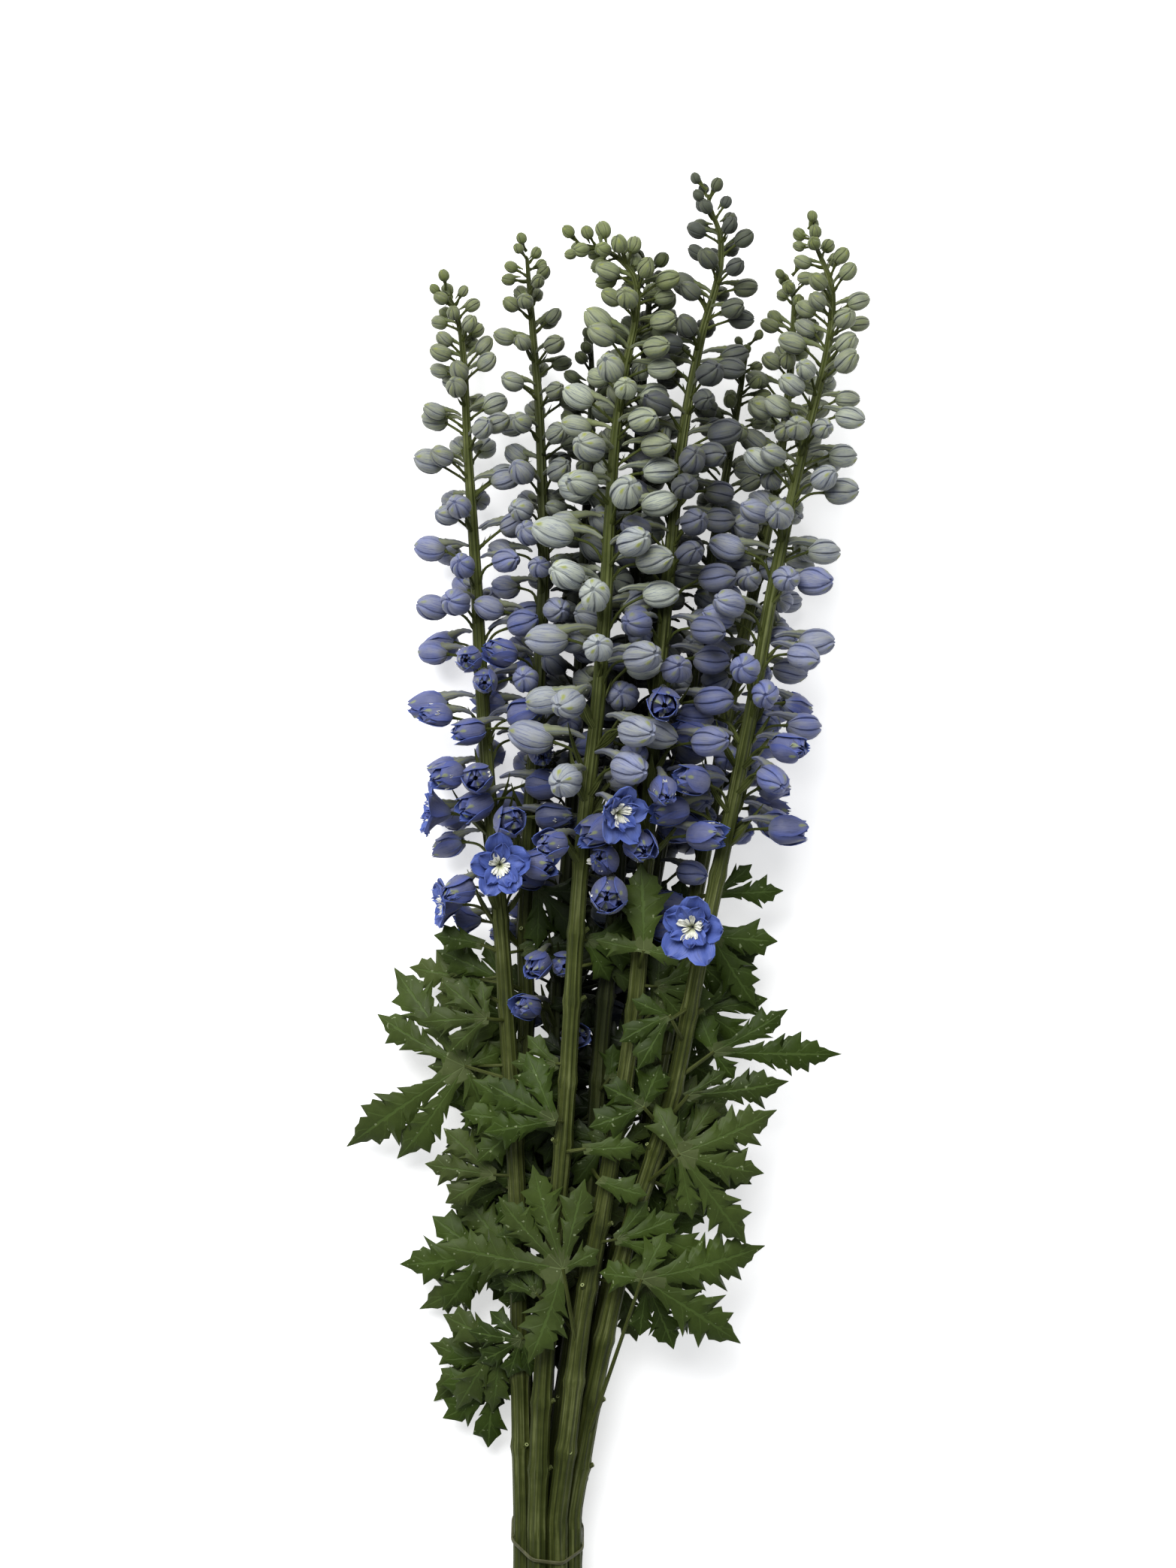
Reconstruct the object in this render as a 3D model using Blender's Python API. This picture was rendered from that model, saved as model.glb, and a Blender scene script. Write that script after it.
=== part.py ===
import math
import random

import bmesh
import bpy
import numpy as np

for thing in list(bpy.data.objects):
    bpy.data.objects.remove(thing)

MM = 0.001  # every length below is in millimetres, and a mesh is made in metres

# The bunch lies along Y with its tips at +Y, its cut ends at -Y and the table at Z = 0.
FRAME_MIDDLE = np.array([11.8, 5.2, 0.0])  # the middle of the bunch, where the frame's origin is
TIE_Y = -396.0
TIE_X = -27.75
TIE_Z = 24.5
TIE_RING = 17.8  # from the middle of the tie to the stalks round it
STALK_BASE_RADIUS = 6.6
CUT_END_Y = -509.0
TIE_STRAIGHT = 17.0  # the stalks run side by side this far each way from the tie
FLARE_BELOW_TIE = 1.12

# Each stem: its place in the tie (degrees round the ring, or None for the middle), the points that its
# stalk passes from the tie to the tip, where its flowers start, how many it has and how ripe they are.
STEMS = {
    "front": dict(
        tie=112.5, flowers_from=88, count=38, ripe=0.62, size=1.08, pale=0.85,
        way=[(-31, -291, 48), (-23, -191, 56), (-16, -116, 64), (-12, -50, 72), (-8, 20, 82), (-2, 94, 94),
             (6, 164, 102), (11, 234, 104), (17, 334, 100), (24, 384, 98), (31, 419, 96), (30, 444, 94),
             (15, 460, 92), (-8, 467, 90)],
    ),
    "right": dict(
        tie=22.5, flowers_from=74, count=38, ripe=0.78, size=0.98, pale=0.55,
        way=[(-3, -331, 35), (6, -281, 40), (18, -226, 46), (26, -191, 50), (54, -101, 62), (74, -1, 74),
             (94, 94, 82), (108, 164, 84), (121, 239, 82), (143, 339, 76), (158, 399, 72), (161, 440, 70),
             (152, 466, 66), (145, 481, 64)],
    ),
    "left": dict(
        tie=157.5, flowers_from=26, count=37, ripe=1.0, size=1.0, pale=0.3,
        way=[(-46, -291, 34), (-48, -166, 42), (-54, -56, 47), (-60, 34, 49), (-67, 109, 48), (-72, 184, 46),
             (-76, 259, 44), (-81, 334, 43), (-85, 409, 40), (-91, 434, 38), (-97, 445, 37)],
    ),
    "dark": dict(
        tie=67.5, flowers_from=84, count=37, ripe=0.74, size=1.0, pale=0.1,
        way=[(-13, -316, 49), (-4, -241, 55), (10, -166, 60), (30, -41, 69), (39, 84, 82), (42, 134, 86),
             (51, 234, 88), (61, 334, 84), (74, 406, 80), (86, 449, 76), (87, 474, 74), (80, 495, 71),
             (79, 507, 70)],
    ),
    "left_low": dict(
        tie=202.5, flowers_from=50, count=31, ripe=0.86, size=0.95, pale=0.4,
        way=[(-44, -316, 19), (-46, -216, 22), (-45, -116, 24), (-42, -41, 26), (-43, 9, 32), (-41, 59, 38),
             (-38, 109, 44), (-34, 159, 47), (-32, 209, 48), (-30, 259, 48), (-33, 359, 44), (-37, 409, 42),
             (-41, 459, 40), (-42, 471, 40)],
    ),
    "middle": dict(
        tie=None, flowers_from=20, count=25, ripe=0.8, size=1.12, pale=0.7,
        way=[(-19, -316, 27), (-9, -241, 33), (2, -141, 42), (10, -41, 50), (18, 34, 57), (23, 109, 62),
             (27, 184, 64), (31, 259, 64), (33, 334, 62), (37, 394, 62), (40, 434, 64), (37, 462, 66)],
    ),
    "right_low": dict(
        tie=337.5, flowers_from=62, count=28, ripe=0.76, size=0.95, pale=0.45,
        way=[(-1, -316, 19), (11, -241, 23), (26, -176, 27), (42, -106, 33), (55, -41, 37), (66, 9, 39),
             (76, 59, 41), (86, 114, 42), (94, 164, 43), (110, 239, 43), (124, 304, 41), (134, 374, 39),
             (138, 434, 37), (136, 455, 36)],
    ),
    "back_left": dict(
        tie=247.5, flowers_from=-62, count=20, ripe=0.92, size=0.9, pale=0.6,
        way=[(-31, -316, 10), (-27, -216, 13), (-23, -116, 18), (-20, -16, 26), (-14, 59, 32), (-9, 134, 37),
             (-5, 209, 39), (-2, 284, 40), (1, 334, 39), (2, 384, 37), (1, 421, 36)],
    ),
    "back_right": dict(
        tie=292.5, flowers_from=30, count=19, ripe=0.72, size=0.85, pale=0.5,
        way=[(-12, -316, 10), (3, -216, 14), (18, -116, 20), (33, -16, 29), (51, 84, 36), (66, 159, 40),
             (77, 234, 42), (86, 284, 42), (98, 354, 40), (107, 408, 38)],
    ),
}

# How a stalk thins from the tie (0) to the tip (1).
STALK_TAPER = [(0, 6.6), (0.06, 6.6), (0.45, 5.4), (0.7, 4.4), (0.85, 3.2), (0.95, 2.2), (1, 1.1)]

# Along a spike, from its lowest flower (0) to its tip (1).
BUD_LENGTH = [(0, 27), (0.25, 25), (0.45, 22), (0.65, 18.5), (0.85, 13.5), (1, 8)]
BUD_RADIUS = [(0, 10.2), (0.25, 9.6), (0.45, 8.6), (0.65, 7.2), (0.85, 5.4), (1, 3.6)]
PEDICEL_LENGTH = [(0, 29), (0.25, 25), (0.5, 18), (0.75, 12), (1, 6)]
BUD_TILT = [(0, 98), (0.3, 86), (0.7, 72), (0.92, 55), (1, 25)]  # degrees from the stalk's direction
PEDICEL_TILT = 52
PEDICEL_RADIUS = 1.05
SPUR_SHARE = 0.72  # of the bud's length
GOLDEN_ANGLE = 137.5
CLOSER_TO_TIP = 0.42  # how much closer the flowers stand at the tip than halfway up
CLEARANCE = 0.75
PRESS = 0.8  # how far a bud may be flattened by the table
OPEN_FROM = 0.86  # ripeness from which a bud's mouth opens

# Blooms that are open in the photo: their stem, where they leave it, the side they face (0 right, 90 at the
# camera), how open, their length, their pedicel's, and their tilt from the stalk.
BLOOMS = [
    ("left", 46, 88, "bloom", 24, 26, 95),
    ("right", 6, 104, "bloom", 26, 28, 92),
    ("front", 84, 55, "bloom", 23, 26, 94),
    ("left", 20, 166, "bloom", 22, 25, 86),
    ("left", 78, 172, "bloom", 23, 27, 78),
    ("dark", 62, 14, "opening", 25, 28, 86),
    ("right", 70, 2, "opening", 25, 26, 80),
    ("left_low", 2, 188, "bloom", 21, 30, 90),
    ("front", 62, 120, "opening", 24, 27, 84),
    ("back_left", -76, 70, "opening", 22, 26, 82),
    ("back_left", -52, 150, "opening", 22, 26, 82),
    ("middle", 4, 40, "opening", 22, 24, 80),
]

# Each leaf: its stem, where it leaves it, where its blade starts, how much its lobes sag over their length,
# and the lobes' heading in degrees, length and width.
LEAVES = [
    ("left", -86, (-83, -77, 44), 0.3, [(25, 26, 16), (72, 38, 20), (128, 78, 26), (155, 66, 24),
                                        (211, 96, 27), (239, 77, 26), (292, 42, 20)]),
    ("left", -34, (-70, -28, 50), 0.1, [(163, 20, 12)]),
    ("left", 0, (-72, 5, 50), 0.1, [(166, 31, 14)]),
    ("left", -114, (-58, -122, 44), 0.3, [(241, 33, 21)]),
    ("dark", -266, (-17, -209, 68), 0.02, [(29, 26, 15), (78, 59, 20), (109, 69, 22), (137, 62, 18),
                                           (170, 84, 22), (254, 65, 22)]),
    ("left_low", -216, (-52, -206, 36), 0.3, [(130, 62, 20), (180, 50, 18), (214, 72, 21)]),
    ("left", -277, (-60, -262, 42), 0.35, [(166, 40, 18), (243, 56, 18), (276, 50, 15)]),
    ("right", -334, (35, -216, 64), 0.25, [(-31, 78, 24), (10, 82, 26), (66, 33, 14), (169, 27, 16)]),
    ("right", -156, (60, -132, 68), 0.22, [(-80, 44, 18), (-52, 74, 26), (-18, 56, 22), (20, 68, 21),
                                           (118, 35, 16)]),
    ("right", -111, (66, -94, 70), 0.12, [(4, 65, 20), (34, 28, 14)]),
    ("right", -86, (83, -66, 66), 0.15, [(-54, 22, 14), (-2, 83, 20), (26, 55, 16), (112, 27, 16)]),
    ("right_low", -51, (76, -39, 44), 0.1, [(-34, 38, 16), (6, 43, 18), (38, 34, 14)]),
    ("right_low", 9, (82, 11, 46), 0.1, [(-60, 55, 18), (-7, 43, 18)]),
    ("right_low", 36, (85, 39, 46), 0.1, [(0, 44, 16), (34, 30, 12)]),
    ("dark", -11, (36, 3, 84), 0.05, [(-10, 28, 12), (90, 55, 26), (169, 31, 12)]),
    ("right", -116, (36, -101, 74), 0.0, [(72, 29, 18), (149, 29, 16), (204, 37, 18)]),
    ("front", -131, (-2, -129, 72), 0.0, [(0, 34, 15)]),
    ("middle", -146, (8, -151, 62), 0.0, [(-21, 31, 15)]),
    ("right", -36, (51, -45, 80), 0.0, [(224, 30, 16)]),
    ("left", -118, (-35, -115, 56), 0.0, [(-2, 26, 15)]),
    ("back_left", -191, (-42, -186, 16), 0.12, [(122, 47, 20), (169, 51, 21), (220, 39, 20)]),
    ("back_right", -166, (43, -151, 14), 0.1, [(-45, 49, 20), (5, 53, 21), (54, 43, 18)]),
    ("back_right", -76, (48, -66, 20), 0.15, [(-27, 45, 18), (16, 55, 18)]),
    ("back_left", -46, (-34, -36, 18), 0.12, [(135, 35, 15), (174, 50, 18), (216, 43, 18)]),
    ("left", -48, (-68, -44, 46), 0.15, [(100, 24, 13), (140, 36, 15), (181, 42, 17), (218, 32, 14)]),
    ("left_low", -30, (-58, -21, 34), 0.15, [(112, 28, 14), (150, 48, 17), (190, 36, 14)]),
    ("middle", -95, (14, -84, 66), 0.0, [(-30, 34, 15), (35, 34, 15), (110, 26, 13)]),
    ("right", -58, (53, -40, 84), 0.0, [(160, 26, 12), (203, 36, 15), (240, 40, 16)]),
    ("left", -106, (-38, -97, 60), 0.0, [(8, 30, 15), (50, 26, 13)]),
    ("back_left", -130, (-38, -124, 26), 0.05, [(110, 46, 20), (150, 54, 22), (196, 42, 18)]),
    ("back_right", -120, (42, -112, 22), 0.1, [(-24, 40, 17), (28, 46, 20), (75, 38, 16)]),
    ("right_low", -140, (60, -138, 34), 0.12, [(-62, 42, 17), (-18, 52, 20), (22, 46, 17)]),
    ("middle", -222, (8, -206, 62), 0.0, [(-40, 30, 14), (5, 26, 13), (60, 30, 13)]),
    ("right_low", -8, (72, -6, 40), 0.1, [(-40, 38, 15), (6, 44, 16)]),
]
LOBE_WIDTH = [(0, 0.3), (0.2, 0.5), (0.42, 0.85), (0.62, 1), (0.82, 0.66), (1, 0)]
LOBE_FOLD = 0.12
LEAF_FLOOR = 1.4
PETIOLE_RADIUS = 1.3
BUNCH_SEED = 41

BLOOM_DEPTH = 0.72  # how far along its length a bloom's sepals end
BLOOM_SPREAD = 0.86  # and how far from its axis
BLADE_THICKNESS = 1.0
STALK_SIDES = 6
STALK_BEND = 1.0  # how far the flat-sided stalk may stray from its line
BAND_GAP = 0.35
BAND_WIDTH = 2.6
BAND_THICKNESS = 1.1
BAND_Y = -394.0
BAND_TIP = 0.6  # the band's front stands lower on the stalks than its back
BAND_SIDE_TIP = 0.12

# A flat-sided bud's rings: along it, and across it, as shares of its length and its radius.
BUD_SIDES = 4
BUD_RINGS = [(0.1, 0.66), (0.5, 1.12)]
SMALL_BUD_RINGS = [(0.36, 1.1)]
OPENING_RINGS = [(0.14, 0.75), (0.92, 1.08)]
SMALL_BUD = 11.5  # a bud shorter than this has one ring
MOUTH_DEPTH = 0.66  # how far along an opening bud the middle of its mouth is
NECK_DROP = 1.1
NECK_SWELL = 1.15

# A bloom's points: out from its axis and along it, as shares of its length.
BLOOM_SEPALS = 5
BLOOM_NECK = (0.2, 0.14)
BLOOM_BEE = 0.62
BLOOM_CUT = (0.42, 0.6)
BLOOM_SHOULDER = (0.72, 0.7)
SHOULDER_TURN = 0.42  # from the middle of a sepal to its shoulder, in radians
BLOOM_FOLD = (0.6, 0.56)
BLOOM_WALL = 1.2

# A flat-sided leaf: where its lobes have rows of points, and its petiole.
LOBE_ROWS = (0.38, 0.7)
SHORT_LOBE_ROWS = (0.56,)
SHORT_LOBE = 60
HUB_DIP = 0.3  # how far the blade's middle lies below its lobes
PETIOLE_HALF = 1.2
PETIOLE_START = 3.0
PETIOLE_DROP = 2.0
SHORT_PETIOLE = 24

BUD_GREY = (0.16, 0.2, 0.14)
PALEST = 0.4  # how much the palest stem adds to a dark one's tone
STEM_ROUGHNESS = 0.6
BAND_OLIVE = (0.055, 0.057, 0.021)
BAND_ROUGHNESS = 0.5


def along(table, t):
    return float(np.interp(t, [row[0] for row in table], [row[1] for row in table]))


def unit(v):
    return v / np.linalg.norm(v)


def smooth_path(points, step):
    """Points every step along a Catmull-Rom curve through the given ones."""
    p = np.array(points, float)
    p = np.vstack([2 * p[0] - p[1], p, 2 * p[-1] - p[-2]])
    fine = []
    for i in range(1, len(p) - 2):
        a, b, c, d = p[i - 1 : i + 3]
        span = np.linalg.norm(c - b)
        before = (c - a) * span / (np.linalg.norm(b - a) + span)
        after = (d - b) * span / (span + np.linalg.norm(d - c))
        for t in np.linspace(0, 1, 24, endpoint=False):
            fine.append(
                (2 * t**3 - 3 * t**2 + 1) * b + (t**3 - 2 * t**2 + t) * before
                + (3 * t**2 - 2 * t**3) * c + (t**3 - t**2) * after
            )
    fine.append(p[-2])
    fine = np.array(fine)
    length = np.concatenate([[0], np.cumsum(np.linalg.norm(np.diff(fine, axis=0), axis=1))])
    wanted = np.linspace(0, length[-1], max(2, round(length[-1] / step) + 1))
    return np.column_stack([np.interp(wanted, length, fine[:, k]) for k in range(3)])


class Stalk:
    """A stem's centre line from its cut end to its tip, with its thickness."""

    def __init__(self, name, facts, draw):
        middle = np.array([0.0, -4.9])
        if facts["tie"] is not None:
            turn = math.radians(facts["tie"])
            middle = TIE_RING * np.array([math.cos(turn), math.sin(turn)])
        ties = [
            (TIE_X + middle[0], TIE_Y + TIE_STRAIGHT * share, TIE_Z + middle[1])
            for share in (-1, -0.5, 0, 0.5, 1)
        ]
        cut = (TIE_X + middle[0] * FLARE_BELOW_TIE, CUT_END_Y + draw.uniform(0, 16), TIE_Z + middle[1])
        self.name, self.facts = name, facts
        self.line = smooth_path([cut, *ties, *facts["way"]], 5.0)
        self.at = np.concatenate([[0], np.cumsum(np.linalg.norm(np.diff(self.line, axis=0), axis=1))])
        self.length = self.at[-1]
        self.tie_at = self.at[np.argmin(abs(self.line[:, 1] - TIE_Y))]
        rising = self.line[:, 1] > facts["flowers_from"]
        self.flowers_at = self.at[np.argmax(rising)]

    def point(self, s):
        return np.array([np.interp(s, self.at, self.line[:, k]) for k in range(3)])

    def direction(self, s):
        return unit(self.point(min(s + 4, self.length)) - self.point(max(s - 4, 0)))

    def radius(self, s):
        return along(STALK_TAPER, max(0, s - self.tie_at) / (self.length - self.tie_at))

    def at_y(self, y):
        return float(self.at[np.argmin(abs(self.line[:, 1] - y))])


class Room:
    """The space that is taken, as round-ended rods, each with the stem it belongs to."""

    def __init__(self):
        self.rods, self.stems = [], []

    def take(self, rods, stem):
        self.rods += [(*a, *b, r) for a, b, r in rods]
        self.stems += [stem] * len(rods)
        self.rows = np.array(self.rods)

    def near(self, centre, reach, stem=None):
        """The rods within reach of a point, leaving out those of one stem's own growth."""
        middle = (self.rows[:, 0:3] + self.rows[:, 3:6]) / 2
        half = np.linalg.norm(self.rows[:, 3:6] - self.rows[:, 0:3], axis=1) / 2
        close = np.linalg.norm(middle - centre, axis=1) < reach + half + self.rows[:, 6]
        if stem is not None:
            close &= np.array(self.stems) != stem
        return self.rows[close]


def gap(rod, rows):
    """The least distance from one round-ended rod to any of the rows."""
    if not len(rows):
        return 1e9
    a, b, r = rod
    d1 = b - a
    d2 = rows[:, 3:6] - rows[:, 0:3]
    w = a - rows[:, 0:3]
    aa = max(d1 @ d1, 1e-9)
    e = np.maximum((d2 * d2).sum(1), 1e-9)
    f = (d2 * w).sum(1)
    c = w @ d1
    bb = d2 @ d1
    bottom = np.maximum(aa * e - bb * bb, 1e-9)
    s = np.clip((bb * f - c * e) / bottom, 0, 1)
    t = np.clip((bb * s + f) / e, 0, 1)
    s = np.clip((bb * t - c) / aa, 0, 1)
    apart = np.linalg.norm(w + s[:, None] * d1 - t[:, None] * d2, axis=1)
    return float((apart - r - rows[:, 6]).min())


class Floret:
    """One bud or bloom on its pedicel: its place, size and ripeness."""

    def __init__(self, stalk, s, t, azimuth, draws, kind=None):
        self.stalk, self.s, self.t, self.azimuth, self.draws = stalk, s, t, azimuth, draws
        size = stalk.facts["size"] * (1 + 0.08 * draws[0])
        self.length = along(BUD_LENGTH, t) * size
        self.radius = min(along(BUD_RADIUS, t) * size, self.length * 0.46)
        self.reach = along(PEDICEL_LENGTH, t) * (1 + 0.15 * draws[1])
        self.tilt = along(BUD_TILT, t) + 10 * draws[2]
        self.ripeness = min(1.0, max(0.0, stalk.facts["ripe"] * (1.22 - 1.15 * t) + 0.06 * draws[3]))
        self.kind = kind or ("opening" if self.ripeness > OPEN_FROM else "bud")
        self.settle()

    def settle(self, turn=0.0, stretch=1.0, lean=0.0, shrink=1.0):
        """Places the floret, turned round the stalk, its pedicel stretched and leaned, its bud made smaller."""
        self.shrink = shrink
        along_stalk = self.stalk.direction(self.s)
        side = unit(np.cross(along_stalk, [0, 0, 1.0]))
        over = np.cross(side, along_stalk)
        angle = math.radians(self.azimuth + turn)
        out = side * math.cos(angle) + over * math.sin(angle)
        flat = math.radians(60 * round((self.azimuth + turn) / 60))
        seat = side * math.cos(flat) + over * math.sin(flat)
        rise, tilt = math.radians(PEDICEL_TILT + lean), math.radians(self.tilt + lean * 0.6)
        centre = self.stalk.point(self.s)
        self.root = centre + seat * self.stalk.radius(self.s) * 0.5
        start = centre + seat * self.stalk.radius(self.s)
        away = along_stalk * math.cos(rise) + out * math.sin(rise)
        self.base = start + away * self.reach * stretch
        self.axis = along_stalk * math.cos(tilt) + out * math.sin(tilt)
        self.up = unit(along_stalk - self.axis * (along_stalk @ self.axis))
        self.bend = (self.root + self.base) / 2
        if self.bends():
            self.bend = start + unit(away * 0.8 + along_stalk * 0.5) * self.reach * stretch * 0.55
        self.size = (self.length * shrink, self.radius * shrink)

    def spur(self):
        """The spur's root, bend and end."""
        long, wide = self.size
        root = self.base + self.axis * long * 0.26 + self.up * wide * 0.52
        tail = root - self.axis * (long * (0.26 + SPUR_SHARE * 0.5)) + self.up * wide * 0.18
        return root, tail, tail - self.axis * long * SPUR_SHARE * 0.45 - self.up * wide * 0.22

    def rods(self):
        long, wide = self.size
        if self.kind == "bloom":
            mouth = self.base + self.axis * long * 0.55
            body = [(self.base + self.axis * 3, mouth, wide * 0.9)]
            for k in range(10):
                turn = 2 * math.pi * k / 10
                rim = self.up * math.cos(turn) + np.cross(self.axis, self.up) * math.sin(turn)
                edge = self.base + self.axis * long * BLOOM_DEPTH + rim * (long * BLOOM_SPREAD - 2)
                body.append((mouth, edge, 2.4))
        else:
            inset = wide * 0.85
            body = [(self.base + self.axis * inset, self.base + self.axis * (long - inset), wide * 0.98)]
        root, tail, end = self.spur()
        thin = [(root, tail, long * 0.12), (tail, end, long * 0.06)] if self.has_spur() else []
        return body, thin + [(self.root + (self.bend - self.root) * 0.4, self.bend, PEDICEL_RADIUS),
                             (self.bend, self.base, PEDICEL_RADIUS)]

    def bends(self):
        return self.reach > 21

    def has_spur(self):
        return self.size[0] > 12

    def fits(self, others, own):
        body, thin = self.rods()
        for rod in body:
            if min(rod[0][2], rod[1][2]) - rod[2] < -PRESS:
                return False
            if gap(rod, others) < CLEARANCE or gap(rod, own) < 0.0:
                return False
        return all(
            gap(rod, others) > CLEARANCE and min(rod[0][2], rod[1][2]) - rod[2] > 0.3 for rod in thin
        )


# Ways to bend a floret clear, the slightest first: turned round the stalk, stretched, leaned, made smaller.
WAYS_CLEAR = sorted(
    (
        (abs(turn) / 14 + abs(stretch - 1) * 4 + abs(lean) / 14 + (1 - shrink) * 16,
         turn, stretch, lean, shrink)
        for turn in (0, 9, -9, 18, -18, 28, -28, 40, -40, 55, -55)
        for stretch in (1, 0.8, 1.25, 0.55)
        for lean in (0, -14, 14, -26, 28)
        for shrink in (1, 0.86, 0.72)
    )
)


def fit_floret(floret, room):
    """Bends a floret the least that clears what is there, and takes its room. False where nothing clears."""
    far = floret.reach + floret.length * 2.5
    others = room.near(floret.base, far, floret.stalk.name)
    own = room.near(floret.base, far)
    for _, *way in WAYS_CLEAR:
        floret.settle(*way)
        if floret.fits(others, own):
            body, thin = floret.rods()
            room.take(body + thin, floret.stalk.name)
            return True
    return False


def place_florets(stalks, room):
    """The open blooms where the photo has them, then each spike's buds in a spiral from bottom to top."""
    placed = []
    by_name = {stalk.name: stalk for stalk in stalks}
    for stem, y, azimuth, kind, length, reach, tilt in BLOOMS:
        floret = Floret(by_name[stem], by_name[stem].at_y(y), 0.0, azimuth, [0, 0, 0, 0.4], kind)
        floret.length, floret.reach, floret.tilt = length, reach, tilt
        if fit_floret(floret, room):
            placed.append(floret)
    for number, stalk in enumerate(stalks):
        draw = random.Random(BUNCH_SEED + number)
        count, start, end = stalk.facts["count"], stalk.flowers_at, stalk.length - 1.0
        azimuth = draw.uniform(0, 360)
        for k in range(count):
            t = k / (count - 1)
            s = start + (end - start) * t * (1 + CLOSER_TO_TIP * (1 - t))
            azimuth += GOLDEN_ANGLE + draw.uniform(-14, 14)
            floret = Floret(stalk, s, t, azimuth, [draw.uniform(-1, 1) for _ in range(4)])
            if fit_floret(floret, room):
                placed.append(floret)
    return placed


class Leaf:
    """A cut leaf on its stalk: lobes fanned round the end of a petiole."""

    def __init__(self, stalk, row, draw):
        _, y, self.at, self.sag, self.lobes = row
        self.stalk, self.s = stalk, stalk.at_y(y)
        self.bends = [draw.uniform(-5, 5) for _ in self.lobes]
        self.settle()

    def settle(self, lift=0.0, turn=0.0, shrink=1.0):
        self.lift, self.turn, self.shrink = lift, turn, shrink
        self.base = np.array(self.at, float) + [0, 0, lift]
        self.base[2] = max(self.base[2], 3.0)
        root = self.stalk.point(self.s)
        out = self.base - root
        out[2] = max(out[2], 0) * 0.6
        mid = root + out * 0.45 + [0, 0, 4.0 + 0.4 * max(self.base[2] - root[2], 0)]
        t = np.linspace(0, 1, 6)[:, None]
        self.petiole = root * (1 - t) ** 2 + 2 * mid * t * (1 - t) + self.base * t**2

    def midrib(self, i, t):
        heading, length, _ = self.lobes[i]
        turn = math.radians(heading + self.turn + self.bends[i] * t)
        reach = length * self.shrink * t
        z = self.base[2] - self.sag * reach * t
        return np.array([
            self.base[0] + reach * math.cos(turn), self.base[1] + reach * math.sin(turn), max(z, LEAF_FLOOR)
        ])

    def half_width(self, i, t):
        """Half a lobe's width, but no more than keeps it off the lobes beside it."""
        heading, length, width = self.lobes[i]
        turns = [abs((other[0] - heading + 180) % 360 - 180) for other in self.lobes if other[0] != heading]
        room_beside = length * self.shrink * t * math.tan(math.radians(min([100, *turns]) / 2 - 3))
        return min(along(LOBE_WIDTH, t) * width * self.shrink / 2, max(room_beside, 0.4))

    def side(self, i, t):
        ahead = self.midrib(i, t + 0.01) - self.midrib(i, t - 0.01)
        return unit(np.array([-ahead[1], ahead[0], 0.0]))

    def margin(self, i, t, way):
        """A point on the edge of a lobe, on its left (way 1) or right (way -1)."""
        edge = self.midrib(i, t) + self.side(i, t) * self.half_width(i, t) * way
        edge[2] = max(edge[2] - self.half_width(i, t) * LOBE_FOLD, LEAF_FLOOR)
        return edge

    def ears(self):
        """The heading of the blade's back, as near the petiole's as it can be, and half its spread."""
        first, last = self.lobes[0][0] + 360, self.lobes[-1][0]
        way = self.petiole[0] - self.base
        toward = last + (math.degrees(math.atan2(way[1], way[0])) - self.turn - last) % 360
        back = min(max(toward, last + 40), first - 40)
        if first - last < 80:
            back = (first + last) / 2
        return back, max(10, min(62, back - last - 26, first - back - 26))

    def notch(self, i):
        """The bottom of the cut before lobe i, or the ear beside the petiole at either end."""
        if 0 < i < len(self.lobes):
            before, after = self.lobes[i - 1][0], self.lobes[i][0]
            gap_between = (after - before) % 360
            turn = math.radians(before + gap_between / 2 + self.turn)
            reach = 0.2 * min(self.lobes[i - 1][1], self.lobes[i][1]) * self.shrink + 1.5
            if gap_between > 150:
                reach = 3.5
        else:
            back, spread = self.ears()
            turn = math.radians(back + spread * (1 if i == 0 else -1) + self.turn)
            reach = 4.0
        return self.base + [reach * math.cos(turn), reach * math.sin(turn), 0.0]

    def rods(self):
        blade = []
        for i, (_, length, _) in enumerate(self.lobes):
            steps = max(3, round(length * self.shrink / 4.0))
            for t in np.linspace(0.1, 0.98, steps):
                wide = max(self.half_width(i, t) - 1.2, 0.2)
                side = self.side(i, t) * wide
                down = np.array([0, 0, -wide * LOBE_FOLD])
                middle = self.midrib(i, t)
                blade += [(middle, middle + side + down, 2.0), (middle, middle - side + down, 2.0)]
        stalk = list(zip(self.petiole[1:-1], self.petiole[2:], [PETIOLE_RADIUS] * 4))
        return blade, stalk

    def fits(self, others, own):
        blade, stalk = self.rods()
        return all(gap(rod, own) > CLEARANCE for rod in blade) and all(
            gap(rod, others) > CLEARANCE and rod[0][2] > PETIOLE_RADIUS + 0.3 for rod in stalk
        )


def place_leaves(stalks, room):
    """Each leaf where the photo has it, lifted or turned just far enough to clear what is there."""
    placed = []
    by_name = {stalk.name: stalk for stalk in stalks}
    draw = random.Random(BUNCH_SEED * 3)
    ways = sorted(
        (abs(lift) / 4 + abs(turn) / 8 + (1 - shrink) * 12, lift, turn, shrink)
        for lift in (0, 3, -3, 6, -6, 10, -10, 14, -14, 20, 26)
        for turn in (0, 8, -8, 16, -16, 26, -26)
        for shrink in (1, 0.85, 0.7, 0.55)
    )
    for row in LEAVES:
        leaf = Leaf(by_name[row[0]], row, draw)
        reach = 12 + max(lobe[1] for lobe in leaf.lobes) + np.linalg.norm(leaf.petiole[0] - leaf.petiole[-1])
        others, own = room.near(leaf.base, reach, row[0]), room.near(leaf.base, reach)
        for _, *way in ways:
            leaf.settle(*way)
            if leaf.fits(others, own):
                blade, stalk = leaf.rods()
                room.take(blade + stalk, row[0])
                placed.append(leaf)
                break
    return placed


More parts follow.
